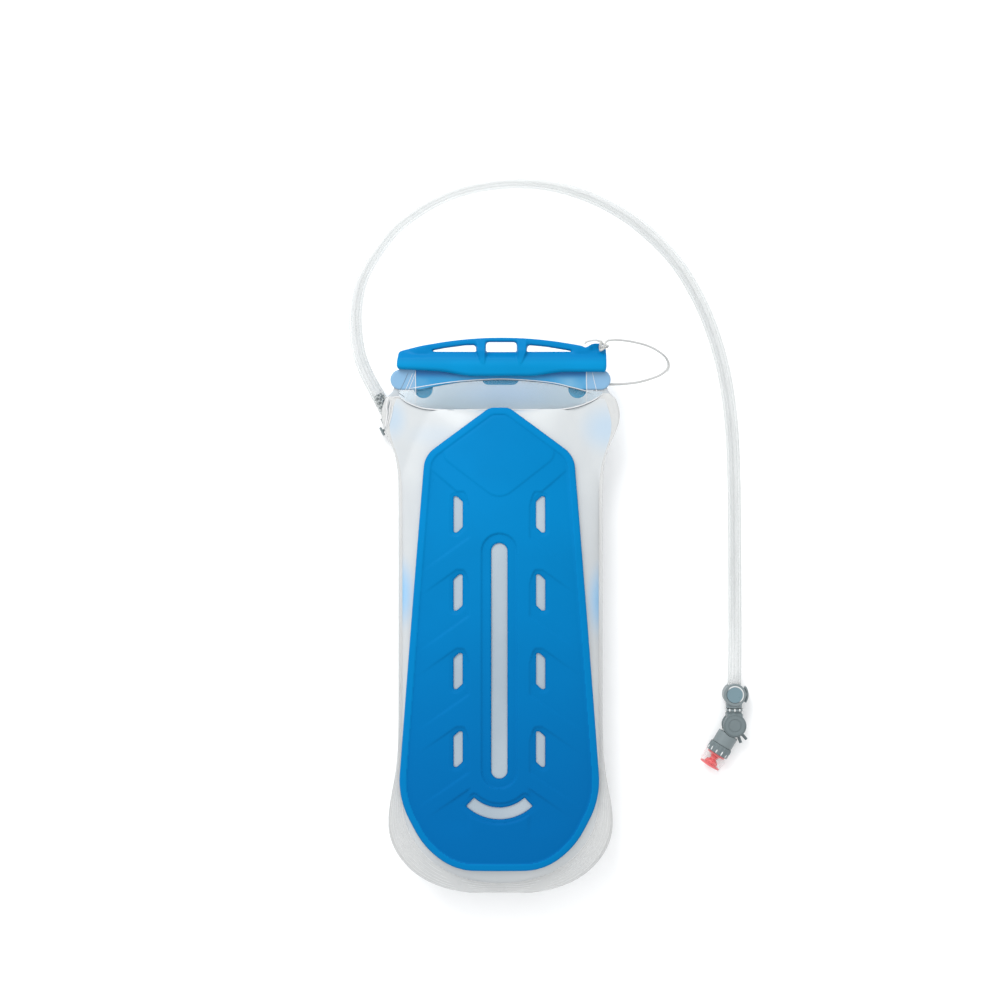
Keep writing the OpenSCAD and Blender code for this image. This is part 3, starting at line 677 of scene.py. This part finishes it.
def film_half(y):
    """Half width of the film at y."""
    side = 76.5 + 12.8 * bell(y, 150, 24) + 7.6 * bell(y, -155, 34)
    low = np.clip((-155 - y) / (-155 - (BAG_BOTTOM - 0.9)), 0, 1)
    body = side * (1 - low**2.6) ** (1 / 2.6)
    necked = body + (80 - body) * ramp(161, 171, y)
    return necked + (75.5 - necked) * ramp(181, 184, y)


def chamber_half(y):
    """Half width of the chamber at y."""
    side = 73.6 + 9.5 * bell(y, 142, 24)
    low = np.clip((CHAMBER_TURN - y) / (CHAMBER_TURN - CHAMBER_BOTTOM), 0, 1)
    return side * (1 - low**2.1) ** (1 / 2.1)


def swell(x, y):
    """Share of the full bulge: 1 over the middle of the chamber and 0 at its seam."""
    u = np.minimum(1, np.abs(x) / np.maximum(chamber_half(y), 1))
    top = CHAMBER_TOP + CHAMBER_TOP_RISE * u * u
    v = np.where(y > MID_Y, (y - MID_Y) / (top - MID_Y), (MID_Y - y) / (MID_Y - CHAMBER_BOTTOM))
    v = np.minimum(v, 1)
    return (1 - u**2.6) ** 0.75 * (1 - v**3.5) ** 0.7


def plate_face(x, y):
    return PLATE_TOP - x * x / (2 * PLATE_RX) - (y - MID_Y) ** 2 / (2 * PLATE_RY)


# Creases in the film: start, end, half width and height, in millimetres
CREASES = [
    ((-84, 163), (-82, 132), 1.3, 0.9), ((-80, 160), (-86, 136), 1.0, 0.7),
    ((-76, 158), (-79, 140), 1.6, -0.8), ((83, 162), (80, 134), 1.5, 0.7),
    ((78, 158), (84, 138), 1.2, -0.6), ((-66, 160), (-58, 132), 3.0, 0.8),
    ((66, 161), (60, 130), 3.2, 0.7), ((-72, 40), (-70, -30), 3.0, 0.6), ((72, 30), (71, -50), 3.0, 0.6),
    ((-78, -150), (-70, -176), 2.4, 0.7), ((78, -150), (69, -177), 2.4, 0.7),
    ((-60, -183), (-40, -192), 2.0, 0.6), ((60, -183), (42, -191), 2.0, 0.5),
]


def creased(x, y):
    """Height of the film's creases at x, y."""
    rise = np.zeros(np.shape(x))
    for (ax, ay), (bx, by), width, height in CREASES:
        ex, ey = bx - ax, by - ay
        t = np.clip(((x - ax) * ex + (y - ay) * ey) / (ex * ex + ey * ey), 0, 1)
        away = np.hypot(x - ax - t * ex, y - ay - t * ey)
        rise = rise + height * np.exp(-((away / width) ** 2)) * np.sin(math.pi * (0.1 + 0.8 * t))
    return rise


def front_height(x, y):
    s = swell(x, y)
    bulge = WELD_Z + FILM_T + 21 * s + creased(x, y) * ramp(0, 0.2, s)
    under_plate = plate_face(x, y) - PLATE_T - PLATE_GAP
    share = np.clip(0.5 + (under_plate - bulge) / 9, 0, 1)
    pressed = under_plate + (bulge - under_plate) * share - 2.25 * share * (1 - share)
    return np.maximum(WELD_Z + FILM_T, pressed)


def rear_height(x, y):
    s = swell(x, y)
    free = np.maximum(0.05, WELD_Z - FILM_T - REAR_BULGE * s - creased(x, y) * ramp(0, 0.2, s))
    away = np.hypot(x - PORT[0], y - PORT[1])
    at_port = (1 - ramp(PORT_PAD_R, PORT_BLEND_R, away)) * ramp(0, 0.15, s)
    return free + (PORT_PAD_Z - free) * at_port


LOW_ARC = [(-76.5, 164.2), (-70, 159.6), (-60, 155.6), (-50, 154.2), (-40, 153.8), (0, 153.9), (38, 154.1),
           (50, 154.9), (60, 157.2), (70, 161.4), (76.5, 166)]
HIGH_ARC = [(-70, 169), (-63.7, 170.2), (-54.4, 171.8), (-41.5, 173.8), (-25.4, 175.5), (0, 176.7),
            (22.7, 175.6), (40, 173.7), (51.5, 171), (63, 168), (70, 165.6)]


def film_region(x, y, facing):
    """Which of the film's materials a place wears: 0 chamber, 1 welded seam, 2 lips, 3 the pocket between the
    closure's arcs, tinted as painted shade and blue light, 4 the film behind the plate, darkened as painted
    shade."""
    low = np.interp(x, *zip(*LOW_ARC))
    high = np.interp(x, *zip(*HIGH_ARC))
    if y > 152 and y > low:
        return 3 if abs(x) < 76 and y < high + 2.5 else 2
    if swell(x, y) < 0.002:
        return 1
    if facing > 0 and float(depth_in(PLATE_OUTLINE + (PLATE_X, 0), np.array(x), np.array(y))) > 3:
        return 4
    return 0


def film_panel(name, height, facing):
    """A panel of film on a grid that gathers its lines at the chamber's seam."""
    rows = np.concatenate((np.linspace(BAG_BOTTOM, CHAMBER_BOTTOM, 8)[:-1],
                           CHAMBER_BOTTOM + 80.9 * (1 - np.cos(np.linspace(0, math.pi / 2, 40)))[:-1],
                           np.linspace(-120, 118, 90)[:-1],
                           118 + 33 * np.sin(np.linspace(0, math.pi / 2, 24)),
                           np.linspace(151.8, 184, 41), np.linspace(185, FILM_TOP, 5)))
    inner = -np.cos(np.linspace(0, math.pi, 90))
    points = []
    for y in rows:
        edge = float(film_half(y))
        room = min(max(float(chamber_half(y)), edge - 14), edge - 0.8)
        margin = np.linspace(0, 1, 5)[:-1] * (edge - room)
        xs = np.concatenate((margin - edge, inner * room, (edge - margin)[::-1]))
        zs = height(xs, np.full(xs.shape, y))
        points.append(np.column_stack((xs, np.full(xs.shape, y), zs)))
    across = len(points[0])
    faces, regions = [], []
    for j in range(len(rows) - 1):
        for i in range(across - 1):
            a = j * across + i
            face = (a, a + 1, a + across + 1, a + across)
            faces.append(face if facing > 0 else tuple(reversed(face)))
            middle = (points[j][i] + points[j + 1][i + 1]) / 2
            regions.append(film_region(middle[0], middle[1], facing))
    panel = solid(name, np.vstack(points), faces, 180)
    panel.data.polygons.foreach_set("material_index", regions)
    thick = panel.modifiers.new("thickness", "SOLIDIFY")
    thick.thickness = FILM_T * MM * 0.6
    thick.offset = -1
    return panel


def tapered(line, radius):
    """Radii of a bead along a line that thins out at both ends."""
    share = np.linspace(0, 1, len(line))
    return radius * (0.12 + 0.88 * ramp(0, 0.12, share) * ramp(1, 0.88, share))


def seam_beads(materials):
    """Fine raised weld lines round the bottom, beside the mouth and along the closure's arcs, and lines along
    the folds: the white of the beads is painted highlight, the grey lines are painted shade below the arcs and
    in the folds.
    """
    z = WELD_Z + FILM_T
    # white: beads whose white is painted highlight; grey: lines of painted shade
    white, grey = [], []
    heights = -118 + (BAG_BOTTOM + 118 + 0.02) * np.sin(np.linspace(0, math.pi / 2, 70))
    for share in (0.04, 0.16, 0.3, 0.45, 0.62, 0.8, 1.0):
        outer = np.column_stack((film_half(heights), heights))
        lows = np.maximum(heights, CHAMBER_BOTTOM + 0.02)
        shrink = np.interp(heights, [BAG_BOTTOM, -118], [CHAMBER_BOTTOM, -118])
        inner = np.column_stack((np.minimum(chamber_half(shrink), film_half(heights)), shrink))
        side = outer + (inner - outer) * share
        side[:, 0] = np.where(np.arange(len(side)) == len(side) - 1, 0, side[:, 0])
        whole = np.vstack((side * (-1, 1), side[::-1][1:]))
        line = np.column_stack((whole, np.full(len(whole), z + 0.03)))
        white.append((line, tapered(line, 0.24 if share == 1 else 0.12)))
    low = curve([(x, y, z + 0.3 + 0.7 * float(swell(x, y) > 0)) for x, y in LOW_ARC], 8)
    white.append((low, tapered(low, 0.42)))
    grey.append((low + (0, -0.8, -0.2), tapered(low, 0.22)))
    high = curve([(x, y, z + 1.45) for x, y in HIGH_ARC], 8)
    white.append((high + (0, 0.3, 0), tapered(high, 0.3)))
    grey.append((high + (0, -0.45, -0.4), tapered(high, 0.22)))
    for x in (-63.7, 64.4):
        line = curve([(x, 184, z + 1.55), (x, 176, z + 1.55), (x + 0.2, 168.5, z + 1.5), (x, 162, z + 0.5),
                      (x, 158, z + 0.3)], 6)
        white.append((line, tapered(line, 0.28)))
    for x, lean, y in ((-72.5, 7, 174), (-69, 6.5, 173.5), (-66.5, 6, 174), (70.5, -3.5, 174)):
        line = curve([(x - lean / 2, y - 7, z + 1.5), (x, y, z + 1.55), (x + lean / 2, y + 8, z + 1.5)], 6)
        (grey if x < -72 else white).append((line, tapered(line, 0.2)))
    folds = [([(-83.9, 163.3), (-85.6, 156.5), (-84.9, 151.7), (-86.6, 140)], 0.5, white),
             ([(-82.2, 161.3), (-83.3, 153), (-84, 148.3), (-86, 139.5)], 0.42, white),
             ([(-80.6, 157), (-81.6, 150), (-84.2, 141)], 0.3, white),
             ([(-82.9, 161), (-84.4, 154.5), (-84.3, 148), (-86.2, 139)], 0.3, grey),
             ([(-82.5, 156.5), (-83.9, 149.6), (-85.6, 141.5)], 0.26, grey),
             ([(-81.2, 162.6), (-78.4, 163.9), (-75.5, 163.2)], 0.3, white),
             ([(-76.8, 166.9), (-74.6, 165.3), (-71.8, 163.2)], 0.26, grey)]
    for places, radius, kind in folds:
        line = curve([(x, y, z + 0.1 + 0.55 * float(x > -78)) for x, y in places], 10)
        kind.append((line, tapered(line, radius)))
    for name, lines, look in (("weld_and_highlight_lines", white, "bead"), ("painted_shade_lines", grey, "crease")):
        pieces = [rod(f"{name}_{i}", line, width, 8) for i, (line, width) in enumerate(lines)]
        beads = dress(joined(name, pieces), materials[look])
        settle(beads, "bag")


def make_bag(materials):
    looks = [materials[look] for look in ("film", "seam", "lip", "pocket", "shaded")]
    front = dress(film_panel("film_front", front_height, 1), *looks)
    rear = dress(film_panel("film_rear", rear_height, -1), materials["film_rear"], *looks[1:4])
    for panel, node in ((front, "front_panel"), (rear, "rear_panel")):
        settle(panel, "bag", node)
    seam_beads(materials)
    make_strips(materials)
    keep("folded_mouth", materials["mouth"])


def strip_depth(x, y):
    """Depth inside the closure strip: a bar with round ears, a tall middle and an arched lower edge."""
    radius = 7.5
    bar = radius - np.hypot(np.maximum(np.abs(x) - (82.5 - radius), 0), np.abs(y - 176.5))
    bar = np.where(np.abs(x) < 82.5 - radius, radius - np.abs(y - 176.5), bar)
    middle = np.minimum(75.5 - np.abs(x), np.minimum(y - 180, FILM_TOP - y))
    arch = np.hypot(x, y + 59.5) - 236
    return np.minimum(np.maximum(bar, middle), arch)


def make_strips(materials):
    for node, low_z in (("closure_strip_front", WELD_Z + FILM_T),
                        ("closure_strip_rear", WELD_Z - FILM_T - 1.5)):
        strip = cut_solid(node + "_moulded", strip_depth, (-84, 160), (84, 190), 0.8,
                          lambda x, y, d, z=low_z: z + 1.5 - fillet(d, 0.6),
                          lambda x, y, d, z=low_z: z + fillet(d, 0.6))
        settle(dress(strip, materials["strip"]), "bag", node)


# ---- The backer plate ----

PLATE_CORNERS = [(-7, 155.4), (-55.8, 119.5), (-75.9, -137), (-56.6, -173), (-33, -190.2),
                 (33, -190.2), (56.6, -173), (75.9, -137), (55.8, 119.5), (7, 155.4)]
PLATE_RADII = [12, 19, 62, 60, 44, 44, 60, 62, 19, 12]
SLOT_X = 30.6
SLOT_ROWS = [75.6, 17.8, -40.4, -98.5]
SMILE_CENTRE = (0, -114.6)
SLANT = 0.72


def side_slot(row):
    """Outline of the left-hand slot of a row: its cut corners lie inwards on the top row and cross below."""
    w, h, cut, slant = 3.4, 13.4, 4.2, 4.0
    if row == 0:
        corners = [(-w, h), (-w, -h), (w - cut, -h), (w, -h + slant), (w, h - slant), (w - cut, h)]
    else:
        corners = [(-w, h - slant), (-w, -h), (w - cut, -h), (w, -h + slant), (w, h), (-w + cut, h)]
    return rounded(corners, [0.9] * 6, 3) + (-SLOT_X, SLOT_ROWS[row])


def middle_slot(half_width, grow):
    """The long slot's outline, or that of the hollow round it, grown by a width all round."""
    high, low, half = 54.4 + grow, -120.3 - grow, half_width + grow
    return rounded([(-half, high), (-half, low), (half, low), (half, high)], [half - 0.01] * 4, 9)


def smile_slot(grow, half_angle):
    """The curved slot's outline, grown by a width all round."""
    inner, outer = 27.4 - grow, 36.4 + grow
    reach = half_angle + math.degrees(grow / 32)
    turns = np.radians(np.linspace(-90 - reach, -90 + reach, 15))
    low = [(outer * math.cos(a), outer * math.sin(a)) for a in turns]
    high = [(inner * math.cos(a), inner * math.sin(a)) for a in turns[::-1]]
    return np.array(low + high) + SMILE_CENTRE


PLATE_OUTLINE = rounded(PLATE_CORNERS, PLATE_RADII, 10)
SLOTS = [side_slot(row) for row in range(4)] + [side_slot(row)[::-1] * (-1, 1) for row in range(4)]
SLOTS += [middle_slot(6.0, 0), smile_slot(0, 43)]
KITE = rounded([(0, 160), (-47, 121.5), (0, 85.5), (46, 121.5)], [10, 9, 14, 9], 9)


def plate_depth(x, y):
    x = x - PLATE_X
    depth = depth_in(PLATE_OUTLINE, x, y)
    for slot in SLOTS:
        depth = np.minimum(depth, -depth_in(slot, x, y))
    return depth


def slot_hollow(x, y, row):
    """Depth share of a row's hollows: a well round each slot that opens into a channel running outwards."""
    out = np.abs(x) - SLOT_X
    local_y = y - SLOT_ROWS[row]
    ring = ramp(-3.0, -2.0, depth_in(side_slot(row) + (SLOT_X, -SLOT_ROWS[row]), -out, local_y))
    rise = 0.85 if row == 0 else -SLANT
    upper = 17.0 + rise * np.maximum(out - 1, 0) - np.maximum(-3.5 - out, 0) ** 2 * 0.5
    lower = -18.0 - SLANT * (out + 7)
    inside = ramp(-0.7, 0.7, upper - local_y) * ramp(-0.9, 0.9, local_y - lower) * ramp(-9.0, -7.2, out)
    fade = 1 - ramp(4, 34, out)
    return np.maximum(0.5 * ring + 0.9 * inside * fade, 0.95 * ring)


def plate_sunk(x, y):
    """How far the plate's face lies below its curved sheet: inside the rim and in the moulded hollows."""
    x = x - PLATE_X
    edge = depth_in(PLATE_OUTLINE, x, y)
    field = 1.0 * ramp(4.6, 6.0, edge)
    raised = 0.6 * ramp(-0.45, 0.45, depth_in(KITE, x, y))
    band = 1.35 * ramp(-0.6, 0.6, depth_in(middle_slot(6.0, 7.2), x, y))
    hollow = np.zeros(np.shape(x))
    for row in range(4):
        hollow = np.maximum(hollow, slot_hollow(x, y, row))
    well = ramp(-4.0, -2.8, depth_in(smile_slot(0, 43), x, y))
    out = np.abs(x)
    roof = SMILE_CENTRE[1] - 14.5 - SLANT * (out - 24)
    wing = ramp(-0.8, 0.8, roof - y) * ramp(20, 24, out) * (1 - ramp(28, 58, out)) * ramp(-168, -150, y)
    hollow = np.maximum(hollow, np.maximum(1.25 * well, 1.0 * wing))
    return field - raised * ramp(5, 7.5, edge) + np.maximum(band, hollow * ramp(4.6, 8, edge))


def make_plate(materials):
    plate = cut_solid("plate_moulded", plate_depth, (-78.2, -192), (76.6, 155), 0.8,
                      lambda x, y, d: plate_face(x, y) + 0.7 - plate_sunk(x, y) - fillet(d, 1.2),
                      lambda x, y, d: plate_face(x, y) - PLATE_T + fillet(d, 0.3))
    dress(plate, materials["plate"], materials["plate_rim"])
    middles = np.array([polygon.center[:2] for polygon in plate.data.polygons]) / MM
    rim = depth_in(PLATE_OUTLINE, middles[:, 0] - PLATE_X, middles[:, 1]) < 5.2
    plate.data.polygons.foreach_set("material_index", rim.astype(np.int32))
    settle(plate, "bag", "backer_plate")
    keep("backer_weld_spots", materials["plate"])


# ---- The slider ----

SLIDER_X = 0.8
SLIDER_HALF = 78.4
HANDLE_TOP = 207.8
HANDLE_END = 197.2
# The hollow between the jaws: from MOUTH_LOW to MOUTH_TOP it is wide enough for the folded mouth
LIP_ROOM, MOUTH_ROOM = 1.85, 2.9
MOUTH_LOW, MOUTH_TOP = 187, 194.6
ARCH_R = (SLIDER_HALF**2 + (HANDLE_TOP - HANDLE_END) ** 2) / (2 * (HANDLE_TOP - HANDLE_END))


def arch(x):
    return HANDLE_TOP - ARCH_R + np.sqrt(ARCH_R**2 - x * x)


def lower_edge(x):
    """The slider's lower edge: deepest in the middle, and a little higher at the left end than the right."""
    return 178.9 + 3.2 * ramp(20, 48, np.abs(x)) + 1.8 * ramp(-30, -78, x)


def handle_openings():
    """Outlines of the three openings in the handle, about the slider's middle."""
    middle = rounded([(-11.7, JAW_TOP), (11.3, JAW_TOP), (11.3, 204.7), (-11.7, 204.7)],
                     [1.2, 1.2, 2.4, 2.4], 6)
    left = rounded([(-19.0, 197.2), (-19.4, 202.5), (-27, 202.3), (-43, 200.2), (-53.2, 198.2), (-50, 197.3)],
                   [0.8, 2.2, 20, 20, 0.5, 3], 6)
    right = rounded([(18.8, 197.2), (51.6, 197.3), (53, 198.0), (47, 199), (33, 201.3), (19.6, 202.5)],
                    [0.8, 3, 0.5, 20, 20, 2.2], 6)
    return [middle, left, right]


def slider_outline():
    """The slider's outline, about its middle: leaning left end, lower edge, round right end and lug."""
    xs = np.linspace(-74, 75, 40)
    lower = [(x, float(lower_edge(x))) for x in xs]
    right_end = [(77.0, 181.9), (78.0, 183.2), (78.4, 185.5), (78.4, 196), (78.2, 199), (77.6, 201.3),
                 (76.2, 202.8), (73.5, 203.6), (70, 203.7), (68, 203.3), (66, 202.2), (64.2, 201.0),
                 (62.5, 200.5)]
    upper = [(x, float(arch(x))) for x in np.linspace(60, -72, 36)]
    left_end = [(-74.6, 198.2), (-76.4, 197.4), (-77.2, 196), (-78.1, 191), (-78.4, 186.6), (-77.8, 185),
                (-76.4, 184.2)]
    return np.array(lower + right_end + upper + left_end)


def slider_depth(x, y, outline):
    x = x - SLIDER_X
    depth = depth_in(outline, x, y)
    for opening in handle_openings():
        depth = np.minimum(depth, -depth_in(opening, x, y))
    lug_hole = np.hypot(x - LUG[0] + 1.5, y - LUG[1] - 0.2) - 2.0
    return np.minimum(depth, lug_hole)


def slider_front(x, y, d):
    """Height of the slider's front face: the jaw's crown, the hollow above it, the handle and its posts."""
    x = x - SLIDER_X
    size = np.abs(x)
    crown = JAW_FRONT_Z - 0.9 + 1.1 * bell(y, 186.5, 5.5)
    bar = JAW_FRONT_Z - 3.0 - 0.04 * np.maximum(size - 50, 0)
    face = crown + (bar - crown) * ramp(191.5, 198.2, y)
    scoop = 1.6 * ramp(192.2, 196.0, y) * ramp(12.6, 10.2, size) * ramp(200, 198, y)
    half = np.interp(y, [186.5, 189, 193, 197, 204], [0.2, 1.4, 2.5, 3.4, 3.6])
    inward = np.interp(y, [186, 197, 206], [13.4, 15.2, 15.4])
    post = ramp(half + 0.7, half - 0.7, np.abs(size - inward)) * ramp(185.5, 190, y) * ramp(207.5, 205.5, y)
    posted = face + post * np.maximum(JAW_FRONT_Z + 0.7 - face, 0) * ramp(207.5, 197, y)
    shoulder = 1.4 * ramp(50, 58, size) * ramp(72, 62, size) * ramp(194.5, 198, y)
    lug = 1.6 * ramp(65, 69, x) * ramp(196, 199, y)
    bevel = np.where(y < 186, fillet(d, 2.6), fillet(d, 1.5))
    blended = fillet(d, 1.5) + (fillet(d, 2.6) - fillet(d, 1.5)) * ramp(188, 184.5, y)
    return np.maximum(posted, face + shoulder) - scoop - lug - np.minimum(bevel, blended)


def within(x, y):
    """True beyond the hollow, where the jaws join."""
    return (x - SLIDER_X < -SLIDER_HALF + 1.7) | (y > MOUTH_TOP)


def slider_inner_front(x, y, d):
    return np.where(within(x, y), WELD_Z, WELD_Z + FILM_T + np.where(y > MOUTH_LOW, MOUTH_ROOM, LIP_ROOM))


def slider_rear(x, y, d):
    return np.where(y > 197.5, WELD_Z - 3, JAW_REAR_Z + 1.6 * ramp(192, 198, y)) + fillet(d, 1.3)


def slider_inner_rear(x, y, d):
    return np.where(within(x, y), WELD_Z, WELD_Z - FILM_T - LIP_ROOM)


def foot_depth(x, y):
    """Depth inside the rear jaw's feet: one at each side and a wide shallow one in the middle."""
    side = 7 - np.hypot(np.abs(x) - 58, np.minimum(y - 170, 0))
    side = np.minimum(side, 188 - y)
    flat = np.maximum(np.abs(x) - 9, 0)
    middle = np.minimum(5 - np.hypot(flat, np.minimum(y - 178, 0)), 188 - y)
    return np.maximum(side, middle)


def make_slider(materials):
    outline = slider_outline()
    low, high = (-79, 177.5), (80.5, 209)
    front = cut_solid("jaw_front", lambda x, y: slider_depth(x, y, outline), low, high, 0.55,
                      slider_front, slider_inner_front)
    rear = cut_solid("jaw_rear", lambda x, y: slider_depth(x, y, outline), low, high, 0.7,
                     slider_inner_rear, slider_rear)
    feet = cut_solid("jaw_feet", foot_depth, (-67, 162), (67, 189), 0.6,
                     lambda x, y, d: JAW_REAR_Z + 2.2 - fillet(d, 0.5),
                     lambda x, y, d: JAW_REAR_Z + fillet(d, 0.8))
    slider = dress(joined("slider_moulded", [front, rear, feet]), materials["slider"])
    settle(slider, "slider", "slider")


def make_knot(materials):
    """A loose overhand knot through the lug, with a short tail."""
    x, y, z = LUG[0], LUG[1] + 0.6, WELD_Z + 5.6
    turns = np.linspace(0, 2 * math.pi, 40)
    loop = np.column_stack((x + 3.0 * np.cos(turns) + 0.8 * np.cos(2 * turns),
                            y + 2.6 * np.sin(turns) - 0.9 * np.sin(2 * turns),
                            z + 1.3 * np.sin(3 * turns) + 1.0))
    through = curve([(x - 1, y + 4, z - 1), (x - 1.4, y + 1, z + 1.6), (x, y - 1.6, z + 0.4),
                     (x + 1.2, y + 1.2, z + 2), (x + 2.6, y + 3.6, z + 0.6), (x + 4, y + 4.5, z - 1)], 8)
    tail = curve([(x - 1, y + 3.4, z + 0.6), (x - 5, y + 4.6, z + 0.8), (x - 9, y + 4.4, z - 0.4),
                  (x - 12.5, y + 3.4, z - 0.8), (x - 13.4, y + 1.8, z - 0.8)], 8)
    pieces = [rod("knot_loop", loop, 0.85, 12), rod("knot_through", through, 0.85, 12),
              rod("knot_tail", tail, 0.8, 12)]
    knot = dress(joined("leash_knot_tied", pieces), materials["leash"])
    settle(knot, "slider", "leash_knot")


# ---- Connector, clip and bite valve ----

def make_fittings(materials):
    """Moulded fittings, their edges rounded, and the CAD pieces that stay."""
    moulded_parts = [
        ("port_elbow", 0.4, 4, "grey", "bag", "grey_plastic"),
        ("release_button", 0.2, 3, "light_grey", "button", "light_grey_plastic"),
        ("hose_plug", 0.22, 2, "barbed", "hose", "dark_grey_plastic"),
        ("valve_barb", 0.22, 2, "dark_grey", "hose", "dark_grey_plastic"),
        ("magnet_clip", 0.25, 4, "light_grey", "hose", "grey_plastic"),
        ("magnet_cap", 0.2, 3, "blue_grey", "hose", "light_grey_plastic"),
        ("elbow_housing", 0.25, 4, "grey", "elbow", "grey_plastic"),
        ("elbow_cap", 0.2, 3, "grey", "elbow", "light_grey_plastic"),
        ("valve_barrel", 0.25, 4, "light_grey", "barrel", "light_grey_plastic"),
        ("valve_ring", 0.22, 3, "grey", "barrel", "light_grey_plastic"),
        ("shutoff_lever", 0.2, 3, "grey", "lever", "dark_grey_plastic"),
    ]
    for node, voxel, passes, look, body, slot in moulded_parts:
        settle(dress(moulded(node, voxel, passes), materials[look]), body, node)
    kept = {"port_flange": "grey", "port_gasket": "rubber", "dip_tube": "dip", "dip_tube_clamp": "dark_grey",
            "leash_anchor": "leash", "button_spring": "steel", "plug_oring": "rubber", "clip_magnet": "magnet",
            "swivel_ring": "light_grey", "pivot_pin": "steel", "valve_oring": "rubber", "bite_core": "coral",
            "bite_sheath": "sheath"}
    for node, look in kept.items():
        keep(node, materials[look])
    # painted highlights: white studs round the swivel ring
    small = [(swivel_highlight_studs(), "stud", "elbow"),
             # painted highlight: a thin white arc round the clip's disc, its glint
             (clip_arc("painted_disc_glint", -62, 148, 50, 6.35, 7.5, 0.5, 10), "stud", "hose"),
             (collar_studs(), "stud", "barrel"),
             (clip_arc("thumb_web", -30, 32, 26, 8.9, 1.2, 1.25, 12), "light_grey", "hose")]
    for piece, look, body in small:
        settle(dress(piece, materials[look]), body)


def swivel_highlight_studs():
    """White studs round the swivel ring's groove: painted highlights, the dots of light that its ridges catch.
    """
    studs = []
    for k in range(10):
        angle = math.radians(18 + 36 * k)
        x = VALVE[0] + 6.35 * math.cos(angle)
        z = VALVE[2] + 6.35 * math.sin(angle)
        line = [(x, VALVE[1] + reach, z) for reach in (10.6, 11.2, 12.2, 12.8)]
        studs.append(rod(f"stud_{k}", line, np.array([0.35, 0.75, 0.75, 0.35]), 10))
    return joined("swivel_highlight_studs", studs)


def collar_studs():
    """White studs round the lower edge of the ribbed collar."""
    along = np.array([math.cos(BITE_ANGLE), math.sin(BITE_ANGLE), 0])
    side = np.array([-along[1], along[0], 0])
    studs = []
    for k in range(12):
        angle = math.radians(15 + 30 * k)
        out = math.cos(angle) * side + math.sin(angle) * np.array([0, 0, 1])
        line = [np.array(VALVE) + along * reach + out * 8.45 for reach in (21.6 + k % 2, 22.4, 24.0, 24.9)]
        studs.append(rod(f"collar_stud_{k}", line, np.array([0.3, 0.62, 0.62, 0.3]), 8))
    return joined("collar_studs", studs)


def clip_arc(name, start, end, count, radius, rise, thickness, sides):
    """A bead that thins out at both ends, round the clip's disc from one angle to another."""
    angles = np.radians(np.linspace(start, end, count))
    line = np.column_stack((VALVE[0] + radius * np.cos(angles), VALVE[1] + 23.5 + radius * np.sin(angles),
                            np.full(count, VALVE[2] + rise)))
    return rod(name, line, tapered(line, thickness), sides)


def make_floor(materials):
    half = 12000
    corners = [(-half, -half, 0), (half, -half, 0), (half, half, 0), (-half, half, 0)]
    dress(solid("floor", corners, [(0, 1, 2, 3)]), materials["floor"])


make_camera()
looks = make_materials()
make_hose(looks)
make_leash(looks)
make_floor(looks)
light_the_scene()
make_bag(looks)
make_plate(looks)
make_slider(looks)
make_knot(looks)
make_fittings(looks)
